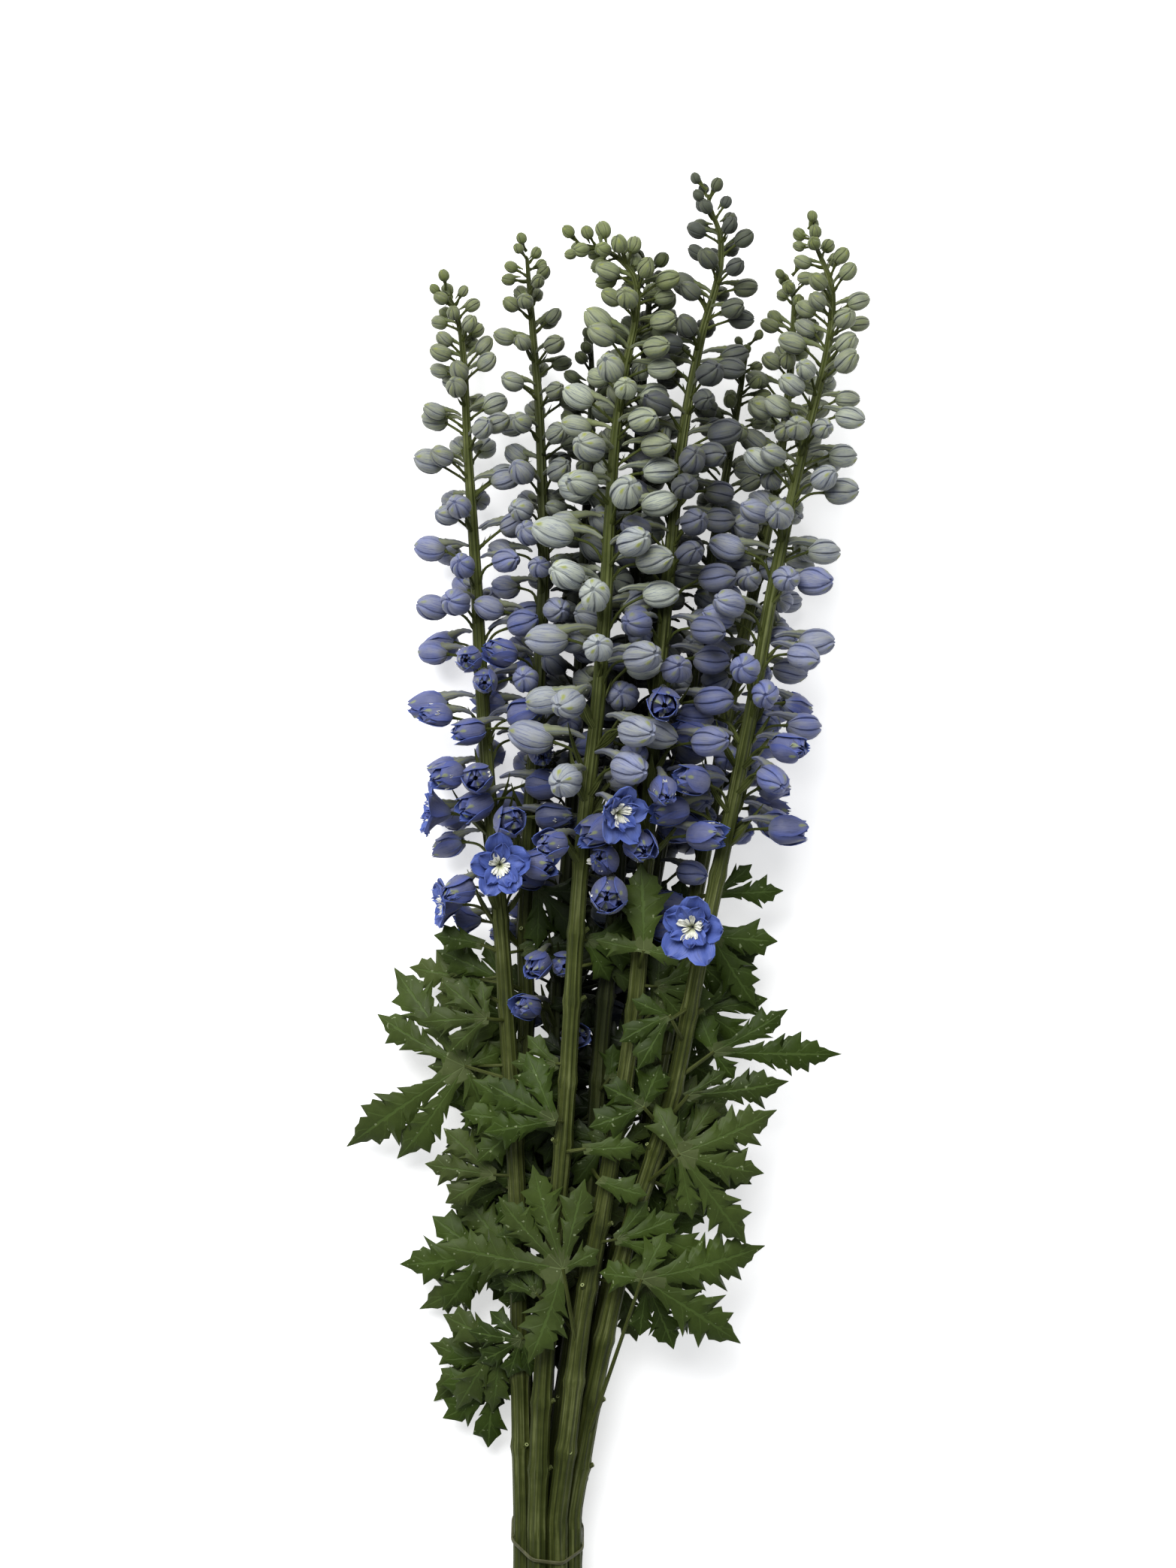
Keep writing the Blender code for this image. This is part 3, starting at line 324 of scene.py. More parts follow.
def grow_tube(growth, points, radii, sides, mark, over=(0, 0, 1.0), flat=1.0, outline=1.0, v_scale=None):
    """A closed tube along points. flat thins it across, and outline gives each side's share of the radius."""
    points = np.asarray(points, float)
    radii = np.asarray(radii, float)[:, None]
    across, overs = turned_frames(points, np.array(over, float))
    turn = np.linspace(0, 2 * math.pi, sides, endpoint=False)
    x, y = np.cos(turn) * outline, np.sin(turn) * outline * flat
    aside, above = across[:, None] * (radii * x)[..., None], overs[:, None] * (radii * y)[..., None]
    rows = (points[:, None] + aside + above).reshape(-1, 3)
    faces, uvs = grid_faces(len(points), sides, wrap=True)
    run = v_scale or np.linalg.norm(np.diff(points, axis=0), axis=1).sum()
    growth.add(rows, faces[:, ::-1], (uvs * [1, run])[:, ::-1], mark)
    ring = np.arange(sides)
    fan = np.stack([np.full(sides, sides), ring, (ring + 1) % sides], 1)
    foot = points[0] - (points[1] - points[0]) * END_BULGE
    for centre, rim, turned in ((foot, rows[:sides], fan[:, ::-1]), (points[-1], rows[-sides:], fan)):
        cap = np.stack([np.full(fan.shape, CUT_FACE), np.where(turned == sides, 0.0, 1.0)], 2)
        growth.add(np.vstack([rim, centre]), turned, cap, mark)


class Wire:
    """A value on its way through the nodes of a finish. Sums with it, and fades of it, make more nodes."""

    def __init__(self, finish, socket):
        self.finish, self.socket = finish, socket

    def sum(self, operation, *others):
        return self.finish.node("Math", dict(enumerate((self, *others))), operation=operation)

    def __add__(self, other):
        return self.sum("ADD", other)

    def __sub__(self, other):
        return self.sum("SUBTRACT", other)

    def __mul__(self, other):
        return self.sum("MULTIPLY", other)

    def __truediv__(self, other):
        return self.sum("DIVIDE", other)

    def __abs__(self):
        return self.sum("ABSOLUTE")

    def away(self, other):
        """The distance from the middle of a spot, from how far aside and how far along this is."""
        return (self * self + other * other).sum("SQRT")

    def fade(self, low, high, start=0.0, end=1.0):
        """From low to high becomes start to end, smoothly."""
        steps = dict(enumerate((self, low, high, start, end)))
        return self.finish.node("MapRange", steps, interpolation_type="SMOOTHSTEP")

    def ramp(self, *stops):
        node = self.finish.tree.nodes.new("ShaderNodeValToRGB")
        band = node.color_ramp
        while len(band.elements) < len(stops):
            band.elements.new(0.5)
        for element, (at, colour) in zip(band.elements, stops):
            element.position = at
            element.color = (*colour, 1)
        self.finish.feed(node, {0: self})
        return Wire(self.finish, node.outputs[0])


HEART_SHADE_TINT = (0.13, 0.15, 0.09)  # painted shade: what the heart of the bunch keeps of a colour where little light reaches


class Finish:
    """A finish being mixed: its shader, and short ways to add a node."""

    def __init__(self, name, roughness, **sockets):
        self.made = bpy.data.materials.new(name)
        self.made.use_nodes = True
        self.tree = self.made.node_tree
        self.shader = self.tree.nodes["Principled BSDF"]
        sockets = {socket.replace("_", " "): value for socket, value in sockets.items()}
        self.feed(self.shader, {"Roughness": roughness, **sockets})

    def feed(self, node, inputs):
        """Sets each of a node's inputs to a wire, a number or a colour."""
        for socket, value in inputs.items():
            if isinstance(value, Wire):
                self.tree.links.new(value.socket, node.inputs[socket])
            else:
                node.inputs[socket].default_value = (*value, 1) if isinstance(value, tuple) else value

    def node(self, kind, inputs, output=0, **settings):
        node = self.tree.nodes.new("ShaderNode" + kind)
        for setting, value in settings.items():
            setattr(node, setting, value)
        self.feed(node, inputs)
        return Wire(self, node.outputs[output])

    def parts(self, kind, wire):
        node = self.tree.nodes.new("ShaderNode" + kind)
        self.feed(node, {0: wire})
        return [Wire(self, socket) for socket in node.outputs]

    def mark(self):
        """The growth marks of this copy: three numbers."""
        return self.parts("SeparateColor", self.node("Attribute", {}, "Color", attribute_name="growth"))

    def place(self):
        """Across and along the growth map."""
        return self.parts("SeparateXYZ", self.node("UVMap", {}, uv_map="growth_map"))[:2]

    def noise(self, scale, detail=3.0, rough=0.55, at=None):
        """Cloudy noise at this place on the object, or at three given wires."""
        if at:
            vector = self.node("CombineXYZ", dict(enumerate(at)))
        else:
            vector = self.node("TexCoord", {}, "Object")
        return self.node("TexNoise", {"Vector": vector, "Scale": scale, "Detail": detail, "Roughness": rough})

    def mix(self, share, a, b, way="MIX"):
        return self.node("Mix", {0: share, 6: a, 7: b}, 2, data_type="RGBA", blend_type=way)

    def wear(self, colour, height=None, strength=0.3, depth=0.0004, paint_heart_shade=True):
        """Ends the mix: the colour, with painted shade darkening it in the heart of the bunch, and the relief
        by its height.
        """
        # painted shade: the colour is multiplied towards a dark tint where little light reaches
        if paint_heart_shade:
            light = self.node("Attribute", {}, "Alpha", attribute_name="growth")
            colour = self.mix(1.0, colour, self.mix(light, HEART_SHADE_TINT, (1.0, 1.0, 1.0)), "MULTIPLY")
        self.feed(self.shader, {"Base Color": colour})
        if height is not None:
            bump = self.node("Bump", {"Strength": strength, "Distance": depth, "Height": height})
            self.feed(self.shader, {"Normal": bump})
        return self.made


RIBS = 10


def stalk_skin():
    """Ribbed green skin, streaked with brown, with painted shade in the grooves between its ribs, and where
    it is cut a pale ring round a dark middle that paints the shade inside its hollow.
    """
    skin = Finish("stalk_skin", 0.6, Specular_IOR_Level=0.16)
    across, along_it = skin.place()
    age, groove_shade, chance = skin.mark()
    streaks = skin.noise(1.0, 5.0, 0.65, at=(across * 26.0, along_it * 0.016, chance * 9.0))
    blotches = skin.noise(45.0, 4.0)
    colour = (streaks * 0.7 + blotches * 0.3).ramp(
        (0.38, (0.011, 0.015, 0.002)), (0.47, (0.032, 0.039, 0.006)), (0.54, (0.058, 0.068, 0.015)),
        (0.64, (0.14, 0.155, 0.058)),
    )
    colour = skin.mix(age * 0.42, colour, (0.058, 0.076, 0.013))
    ribs = abs((across * (math.pi * RIBS)).sum("SINE"))
    # painted shade in the grooves between the ribs
    colour = skin.mix(ribs.fade(0.55, 0.05) * (groove_shade * 0.5), colour, (0.02, 0.026, 0.008))
    # the cut face: a pale ring round a dark middle that is painted shade inside the stalk's hollow
    pith_and_hollow_shade = (along_it + (blotches - 0.5) * 0.2).ramp(
        (0.38, (0.012, 0.014, 0.005)), (0.46, (0.2, 0.23, 0.09)), (0.78, (0.3, 0.34, 0.14)),
        (0.93, (0.07, 0.09, 0.02)),
    )
    colour = skin.mix(across.sum("LESS_THAN", CUT_FACE / 2), colour, pith_and_hollow_shade)
    return skin.wear(colour, ribs * 0.6 + streaks * 0.8, 0.6, 0.0007)


STALK_SIDES = 20
STALK_STEP = 7.0
RIB_HEIGHT = 0.05  # as a share of the radius
NODE_SWELL = 0.16  # how far a stalk swells where a leaf left it
NODE_REACH = 9.0
NODES_FROM = (40, 75)  # the first scar is this far below the tie
NODE_GAP = (38, 66)
TIGHT = 14.0  # the tie holds a stalk to its plain thickness this far each way
NO_STUBS = 22.0
STUB_RADII = (2.6, 1.9, 1.5)
STUB_SIDES = 8

stalk_finish = stalk_skin()
for stalk in stalks:
    draw = random.Random(BUNCH_SEED * 5 + len(stalk.name))
    joints = []
    s = stalk.tie_at - draw.uniform(*NODES_FROM)
    while s < stalk.flowers_at:
        joints.append((s, draw.uniform(0, 2 * math.pi)))
        s += draw.uniform(*NODE_GAP)
    rings = np.arange(0, stalk.length, STALK_STEP)
    for s, _ in joints:
        rings = np.append(rings, [s - NODE_REACH * 0.45, s, s + NODE_REACH * 0.45])
    rings = np.unique(np.clip(rings, 0, stalk.length))
    radii = []
    for s in rings:
        near = sum(math.exp(-(((s - at) / NODE_REACH) ** 2) * 4) for at, _ in joints)
        tied = 1 - math.exp(-(((s - stalk.tie_at) / TIGHT) ** 2))
        radii.append(stalk.radius(s) * (0.97 + NODE_SWELL * near * tied))
    ribs = 1 + RIB_HEIGHT * np.cos(2 * math.pi * np.arange(STALK_SIDES) * RIBS / STALK_SIDES)
    growth = Growth()
    # the second mark: painted shade in the grooves between the ribs, in full on a stalk and none on its leaf
    # stubs
    mark = (0.3 + 0.7 * stalk.facts["pale"] * 0.5, 1.0, draw.random())
    grow_tube(growth, [stalk.point(s) for s in rings], radii, STALK_SIDES, mark, outline=ribs)
    for at, turn in joints:
        if abs(at - stalk.tie_at) < NO_STUBS:
            continue
        ahead = stalk.direction(at)
        out = around(*sides_of(ahead), turn)
        foot = stalk.point(at) + out * stalk.radius(at) * 0.7
        stub = draw.uniform(2.5, 6.5)
        away = unit(out * 0.9 + ahead * 0.6)
        line = [foot, foot + away * stub * 0.6, foot + away * stub]
        grow_tube(growth, line, STUB_RADII, STUB_SIDES, (0.5, 0.0, draw.random()), over=ahead)
    growth.make(f"stalk_{stalk.name}", [stalk_finish], f"stem_{stalk.name}", "stem_green")


# The leaves. Cut leaves of soft green tissue, each a fan of toothed lobes round the end of its petiole. They
# grew on the lower stalks, droop at their tips and press against the stems beside them.
# Each leaf: its stem, where it leaves it, where its blade starts, how much its lobes sag over their length,
# and the lobes' heading in degrees, length and width.
LEAVES = [
    ("left", -86, (-83, -77, 44), 0.3, [(25, 26, 16), (72, 38, 20), (128, 78, 26), (155, 66, 24),
        (211, 96, 27), (239, 77, 26), (292, 42, 20)]),
    ("left", -34, (-70, -28, 50), 0.1, [(163, 20, 12)]),
    ("left", 0, (-72, 5, 50), 0.1, [(166, 31, 14)]),
    ("left", -114, (-58, -122, 44), 0.3, [(241, 33, 21)]),
    ("dark", -266, (-17, -209, 68), 0.02, [(29, 26, 15), (78, 59, 20), (109, 69, 22), (137, 62, 18),
        (170, 84, 22), (254, 65, 22)]),
    ("left_low", -216, (-52, -206, 36), 0.3, [(130, 62, 20), (180, 50, 18), (214, 72, 21)]),
    ("left", -277, (-60, -262, 42), 0.35, [(166, 40, 18), (243, 56, 18), (276, 50, 15)]),
    ("right", -334, (35, -216, 64), 0.25, [(-31, 78, 24), (10, 82, 26), (66, 33, 14), (169, 27, 16)]),
    ("right", -156, (60, -132, 68), 0.22, [(-80, 44, 18), (-52, 74, 26), (-18, 56, 22), (20, 68, 21),
        (118, 35, 16)]),
    ("right", -111, (66, -94, 70), 0.12, [(4, 65, 20), (34, 28, 14)]),
    ("right", -86, (83, -66, 66), 0.15, [(-54, 22, 14), (-2, 83, 20), (26, 55, 16), (112, 27, 16)]),
    ("right_low", -51, (76, -39, 44), 0.1, [(-34, 38, 16), (6, 43, 18), (38, 34, 14)]),
    ("right_low", 9, (82, 11, 46), 0.1, [(-60, 55, 18), (-7, 43, 18)]),
    ("right_low", 36, (85, 39, 46), 0.1, [(0, 44, 16), (34, 30, 12)]),
    ("dark", -11, (36, 3, 84), 0.05, [(-10, 28, 12), (90, 55, 26), (169, 31, 12)]),
    ("right", -116, (36, -101, 74), 0.0, [(72, 29, 18), (149, 29, 16), (204, 37, 18)]),
    ("front", -131, (-2, -129, 72), 0.0, [(0, 34, 15)]),
    ("middle", -146, (8, -151, 62), 0.0, [(-21, 31, 15)]),
    ("right", -36, (51, -45, 80), 0.0, [(224, 30, 16)]),
    ("left", -118, (-35, -115, 56), 0.0, [(-2, 26, 15)]),
    ("back_left", -191, (-42, -186, 16), 0.12, [(122, 47, 20), (169, 51, 21), (220, 39, 20)]),
    ("back_right", -166, (43, -151, 14), 0.1, [(-45, 49, 20), (5, 53, 21), (54, 43, 18)]),
    ("back_right", -76, (48, -66, 20), 0.15, [(-27, 45, 18), (16, 55, 18)]),
    ("back_left", -46, (-34, -36, 18), 0.12, [(135, 35, 15), (174, 50, 18), (216, 43, 18)]),
    ("left", -48, (-68, -44, 46), 0.15, [(100, 24, 13), (140, 36, 15), (181, 42, 17), (218, 32, 14)]),
    ("left_low", -30, (-58, -21, 34), 0.15, [(112, 28, 14), (150, 48, 17), (190, 36, 14)]),
    ("middle", -95, (14, -84, 66), 0.0, [(-30, 34, 15), (35, 34, 15), (110, 26, 13)]),
    ("right", -58, (53, -40, 84), 0.0, [(160, 26, 12), (203, 36, 15), (240, 40, 16)]),
    ("left", -106, (-38, -97, 60), 0.0, [(8, 30, 15), (50, 26, 13)]),
    ("back_left", -130, (-38, -124, 26), 0.05, [(110, 46, 20), (150, 54, 22), (196, 42, 18)]),
    ("back_right", -120, (42, -112, 22), 0.1, [(-24, 40, 17), (28, 46, 20), (75, 38, 16)]),
    ("right_low", -140, (60, -138, 34), 0.12, [(-62, 42, 17), (-18, 52, 20), (22, 46, 17)]),
    ("middle", -222, (8, -206, 62), 0.0, [(-40, 30, 14), (5, 26, 13), (60, 30, 13)]),
    ("right_low", -8, (72, -6, 40), 0.1, [(-40, 38, 15), (6, 44, 16)]),
]
LOBE_WIDTH = [(0, 0.3), (0.2, 0.5), (0.42, 0.85), (0.62, 1), (0.82, 0.66), (1, 0)]
LOBE_FOLD = 0.12
LEAF_FLOOR = 1.4
BASE_FLOOR = 3.0
PETIOLE_RADIUS = 1.3
PETIOLE_POINTS = 6
CLEARANCE = 0.75  # between one growth and the next
LOBE_BEND = 5.0  # degrees that a lobe may bend to one side by its tip
EAR_SPREAD = (10, 62)
NOTCH_REACH = 0.2
WIDE_NOTCH = 150  # degrees between two lobes from which they part close to the petiole


class Room:
    """The space that is taken, as round-ended rods, each with the stem it belongs to."""

    def __init__(self):
        self.rods, self.stems = [], []

    def take(self, rods, stem):
        self.rods += [(*a, *b, r) for a, b, r in rods]
        self.stems += [stem] * len(rods)
        self.rows = np.array(self.rods)

    def near(self, centre, reach, stem=None):
        """The rods within reach of a point, leaving out those of one stem's own growth."""
        middle = (self.rows[:, 0:3] + self.rows[:, 3:6]) / 2
        half = np.linalg.norm(self.rows[:, 3:6] - self.rows[:, 0:3], axis=1) / 2
        close = np.linalg.norm(middle - centre, axis=1) < reach + half + self.rows[:, 6]
        if stem is not None:
            close &= np.array(self.stems) != stem
        return self.rows[close]


def gap(rod, rows):
    """The least distance from one round-ended rod to any of the rows."""
    if not len(rows):
        return 1e9
    a, b, r = rod
    d1 = b - a
    d2 = rows[:, 3:6] - rows[:, 0:3]
    w = a - rows[:, 0:3]
    aa = max(d1 @ d1, 1e-9)
    e = np.maximum((d2 * d2).sum(1), 1e-9)
    f = (d2 * w).sum(1)
    c = w @ d1
    bb = d2 @ d1
    bottom = np.maximum(aa * e - bb * bb, 1e-9)
    s = np.clip((bb * f - c * e) / bottom, 0, 1)
    t = np.clip((bb * s + f) / e, 0, 1)
    s = np.clip((bb * t - c) / aa, 0, 1)
    apart = np.linalg.norm(w + s[:, None] * d1 - t[:, None] * d2, axis=1)
    return float((apart - r - rows[:, 6]).min())


class Leaf:
    """A cut leaf on its stalk: lobes fanned round the end of a petiole."""

    def __init__(self, stalk, row, draw):
        y, self.at, self.sag, self.lobes = row
        self.stalk, self.s = stalk, stalk.at_y(y)
        self.bends = [draw.uniform(-LOBE_BEND, LOBE_BEND) for _ in self.lobes]
        self.settle()

    def settle(self, lift=0.0, turn=0.0, shrink=1.0):
        self.turn, self.shrink = turn, shrink
        self.base = np.array(self.at, float) + [0, 0, lift]
        self.base[2] = max(self.base[2], BASE_FLOOR)
        root = self.stalk.point(self.s)
        out = self.base - root
        out[2] = max(out[2], 0) * 0.6
        mid = root + out * 0.45 + [0, 0, 4.0 + 0.4 * max(self.base[2] - root[2], 0)]
        t = np.linspace(0, 1, PETIOLE_POINTS)[:, None]
        self.petiole = root * (1 - t) ** 2 + 2 * mid * t * (1 - t) + self.base * t**2

    def midrib(self, i, t):
        heading, length, _ = self.lobes[i]
        turn = math.radians(heading + self.turn + self.bends[i] * t)
        reach = length * self.shrink * t
        z = self.base[2] - self.sag * reach * t
        x, y = self.base[0] + reach * math.cos(turn), self.base[1] + reach * math.sin(turn)
        return np.array([x, y, max(z, LEAF_FLOOR)])

    def half_width(self, i, t):
        """Half a lobe's width, but no more than keeps it off the lobes beside it."""
        heading, length, width = self.lobes[i]
        turns = [abs((other[0] - heading + 180) % 360 - 180) for other in self.lobes if other[0] != heading]
        room_beside = length * self.shrink * t * math.tan(math.radians(min([100, *turns]) / 2 - 3))
        return min(along(LOBE_WIDTH, t) * width * self.shrink / 2, max(room_beside, 0.4))

    def side(self, i, t):
        ahead = self.midrib(i, t + 0.01) - self.midrib(i, t - 0.01)
        return unit(np.array([-ahead[1], ahead[0], 0.0]))

    def ears(self):
        """The heading of the blade's back, as near the petiole's as it can be, and half its spread."""
        first, last = self.lobes[0][0] + 360, self.lobes[-1][0]
        way = self.petiole[0] - self.base
        toward = last + (math.degrees(math.atan2(way[1], way[0])) - self.turn - last) % 360
        back = min(max(toward, last + 40), first - 40)
        if first - last < 80:
            back = (first + last) / 2
        return back, max(EAR_SPREAD[0], min(EAR_SPREAD[1], back - last - 26, first - back - 26))

    def notch(self, i):
        """The bottom of the cut before lobe i, or the ear beside the petiole at either end."""
        if 0 < i < len(self.lobes):
            before, after = self.lobes[i - 1][0], self.lobes[i][0]
            gap_between = (after - before) % 360
            turn = math.radians(before + gap_between / 2 + self.turn)
            shorter = min(self.lobes[i - 1][1], self.lobes[i][1])
            reach = 3.5 if gap_between > WIDE_NOTCH else NOTCH_REACH * shorter * self.shrink + 1.5
        else:
            back, spread = self.ears()
            turn = math.radians(back + spread * (1 if i == 0 else -1) + self.turn)
            reach = 4.0
        return self.base + [reach * math.cos(turn), reach * math.sin(turn), 0.0]

    def rods(self):
        blade = []
        for i, (_, length, _) in enumerate(self.lobes):
            steps = max(3, round(length * self.shrink / 4.0))
            for t in np.linspace(0.1, 0.98, steps):
                wide = max(self.half_width(i, t) - 1.2, 0.2)
                side = self.side(i, t) * wide
                down = np.array([0, 0, -wide * LOBE_FOLD])
                middle = self.midrib(i, t)
                blade += [(middle, middle + side + down, 2.0), (middle, middle - side + down, 2.0)]
        petiole = [(a, b, PETIOLE_RADIUS) for a, b in zip(self.petiole[1:-1], self.petiole[2:])]
        return blade, petiole

    def fits(self, others, own, clear=CLEARANCE):
        blade, petiole = self.rods()
        return all(gap(rod, own) > clear for rod in blade) and all(
            gap(rod, others) > clear and rod[0][2] > PETIOLE_RADIUS + 0.3 for rod in petiole
        )


def fit_leaf(leaf, room, reach, ways, clear=CLEARANCE):
    """Moves a leaf the first way that clears what is there, and takes its room. False where none does."""
    others, own = room.near(leaf.base, reach, leaf.stalk.name), room.near(leaf.base, reach)
    for way in ways:
        leaf.settle(*way)
        if leaf.fits(others, own, clear):
            blade, petiole = leaf.rods()
            room.take(blade + petiole if clear > 0 else blade, leaf.stalk.name)
            return True
    return False


by_name = {stalk.name: stalk for stalk in stalks}
room = Room()
for stalk in stalks:
    for a, b in zip(stalk.at[:-1:2], stalk.at[2::2]):
        room.take([(stalk.point(a), stalk.point(b), stalk.radius(a))], stalk.name)

# Each leaf where the photo has it, lifted, turned or shrunk just far enough to clear what is there.
LEAF_WAYS = sorted(
    (abs(lift) / 4 + abs(turn) / 8 + (1 - shrink) * 12, lift, turn, shrink)
    for lift in (0, 3, -3, 6, -6, 10, -10, 14, -14, 20, 26)
    for turn in (0, 8, -8, 16, -16, 26, -26)
    for shrink in (1, 0.85, 0.7, 0.55)
)
leaves = []
draw = random.Random(BUNCH_SEED * 3)
for row in LEAVES:
    leaf = Leaf(by_name[row[0]], row[1:], draw)
    reach = 12 + max(lobe[1] for lobe in leaf.lobes) + np.linalg.norm(leaf.petiole[0] - leaf.petiole[-1])
    if fit_leaf(leaf, room, reach, [way[1:] for way in LEAF_WAYS]):
        leaves.append(leaf)


def leaf_skin(name, tint, roughness):
    """Leaf green between a paler midrib and side veins, with dull patches and pale flecks."""
    skin = Finish(name, roughness, Specular_IOR_Level=0.14)
    across, along_it = skin.place()
    age, _, chance = skin.mark()
    wide = abs(across - 0.5)
    patches = skin.noise(28.0, 4.0, 0.6)
    level = patches * 0.8 + skin.noise(420.0, 3.0, 0.6) * 0.2 + (chance - 0.5) * 0.22
    dull, plain, bright = (tuple(c * share for c in tint) for share in (0.62, 1, 1.5))
    colour = level.ramp((0.28, dull), (0.5, plain), (0.72, bright))
    colour = skin.mix(age, colour, (0.12, 0.135, 0.05))
    side_vein = (along_it - wide * 1.7 + 0.06).sum("FRACT")
    side_vein = side_vein.fade(0.12, 0.04) * wide.fade(0.5, 0.3)
    vein = wide.fade(0.055, 0.02).sum("MAXIMUM", side_vein * 0.6)
    colour = skin.mix(vein * 0.6, colour, tuple(c * 2.2 + 0.012 for c in tint))
    flecks = skin.noise(330.0, 1.0, 0.3).fade(0.735, 0.76)
    colour = skin.mix(flecks * 0.55, colour, (0.26, 0.3, 0.17))
    return skin.wear(colour, patches * 0.5 + skin.noise(900.0, 2.0) * 0.2 - vein * 0.8, 0.45, 0.0007)


TOOTH_PITCH = 14.0
LOBE_SWELL = 0.3  # how much wider a lobe is half way along than its outline
BARE_TIP = 0.3  # the share of a lobe, at its tip, where the teeth fade
BLADE_WALL = 0.45
HUB = 0.2  # the share of a lobe that joins the others round the petiole
BLADE_COLUMNS = (-1.0, -0.5, 0.0, 0.5, 1.0)
# Over one big tooth of the edge, from its notch: how far it reaches (against the lobe's own half width) and
# how far it leans to the lobe's tip (against the pitch). A small tooth rides on the big one's back.
TOOTH = [(0.58, 0.0), (0.95, 0.1), (0.86, 0.06), (1.32, 0.34)]


def blade_row(leaf, i, t, wides, leans, ripple):
    """Five points across a lobe: its edge, its raised half, its rib, and the other side."""
    rib = leaf.midrib(i, t)
    side = leaf.side(i, t)
    half = leaf.half_width(i, t) * (1 + LOBE_SWELL * math.sin(math.pi * max(0, t - HUB) / (1 - HUB)))
    ahead = np.array([side[1], -side[0], 0.0])
    row = []
    for way in BLADE_COLUMNS:
        k = 0 if way < 0 else 1
        reach = half * wides[k]
        point = rib + side * reach * way + ahead * leans[k] * way**2
        rise = 0.13 * (1 - abs(abs(way) * 2 - 1)) - 0.24 * abs(way) ** 2
        point[2] += reach * rise + ripple[k] * abs(way)
        row.append(point)
    return row


def grow_blade(growth, leaf, draw, age):
    """One blade: toothed lobes joined at the hub, each drawn out to a drooping point."""
    chance = draw.random()
    lobes = len(leaf.lobes)
    hub = leaf.base - [0, 0, 0.3]
    for i, (_, length, _) in enumerate(leaf.lobes):
        reach = length * leaf.shrink
        teeth = max(2, round(reach * (1 - HUB) / TOOTH_PITCH))
        phase = draw.uniform(0, 6)
        start = [leaf.notch(i), None, leaf.midrib(i, HUB), None, leaf.notch(i + 1)]
        start[1] = (start[0] + start[2]) / 2 + [0, 0, 0.4]
        start[3] = (start[4] + start[2]) / 2 + [0, 0, 0.4]
        rows, along_lobe = [start], [0.0]
        steps = len(TOOTH) * teeth
        size = [draw.uniform(0.75, 1.25) for _ in range(2 * teeth + 2)]
        for k in range(1, steps):
            t = HUB + (0.97 - HUB) * k / steps
            taper = min(1.0, (1 - t) / 0.42)
            wides, leans = [], []
            for which in (0, 1):
                turn = k + which * (len(TOOTH) // 2) + 1
                out, lean = TOOTH[turn % len(TOOTH)]
                grown = size[(turn // len(TOOTH)) * 2 + which]
                grown *= min(1.0, max(0.0, (t - HUB) / 0.18)) * min(1.0, (1.02 - t) / BARE_TIP)
                wides.append(1 + (out - 1) * grown)
                leans.append(reach / teeth * lean * grown * taper)
            ripple = [0.06 * math.sin(t * 11 + phase + which * 2) * min(14, reach / 3) for which in (0, 1)]
            rows.append(blade_row(leaf, i, t, wides, leans, ripple))
            along_lobe.append(k / len(TOOTH))
        end = leaf.midrib(i, 1.04)
        rows.append([end + (p - end) * 0.03 for p in rows[-1]])
        along_lobe.append(float(teeth))
        points = np.array(rows).reshape(-1, 3)
        faces, uvs = grid_faces(len(rows), len(BLADE_COLUMNS))
        heights = np.array(along_lobe)
        uvs[..., 1] = heights[np.round(uvs[..., 1] * (len(rows) - 1)).astype(int)]
        growth.add(points, faces[:, ::-1], uvs[:, ::-1], (age, 0.0, chance))
        fan = np.array([(5, j + 1, j) for j in range(4)])
        fan_uv = np.array([((0.5, -1.0), ((j + 1) / 4, 0.0), (j / 4, 0.0)) for j in range(4)])
        growth.add(np.vstack([rows[0], hub]), fan, fan_uv, (age, 0.0, chance))
    back = np.array([leaf.notch(lobes), leaf.notch(0), hub])
    growth.add(back, [(2, 1, 0)], [((0.5, -1.0), (1.0, 0.0), (0.0, 0.0))], (age, 0.0, chance))


leaf_finishes = [leaf_skin("leaf_top", (0.025, 0.043, 0.005), 0.5),
                 leaf_skin("leaf_under", (0.045, 0.06, 0.018), 0.6)]
PETIOLE_STEP = 3.0


def make_leaves(kind, leaves, seed, aging, thick, sides):
    """A piece of blades and one of petioles for each stem. aging: the most a blade ages, and how rarely."""
    for stalk in stalks:
        draw = random.Random(BUNCH_SEED * seed + len(stalk.name))
        blades, petioles = Growth(), Growth()
        for leaf in leaves:
            if leaf.stalk is stalk:
                grow_blade(blades, leaf, draw, aging[0] * draw.random() ** aging[1])
                line = smooth_path(leaf.petiole, PETIOLE_STEP)
                radii = taper(line, [0, 0.15, 1], thick)
                grow_tube(petioles, line, radii, sides, (0.6, 0.0, draw.random()), flat=0.85)
        if blades.count:
            node = f"stem_{stalk.name}"
            blades.make(f"{kind}leaves_{stalk.name}", leaf_finishes, node, "leaf_green", BLADE_WALL, 0.01, 1)
            petioles.make(f"{kind}petioles_{stalk.name}", [stalk_finish], node, "stem_green")


make_leaves("", leaves, 11, (0.15, 2), [2.2, 1.5, 1.15], 8)


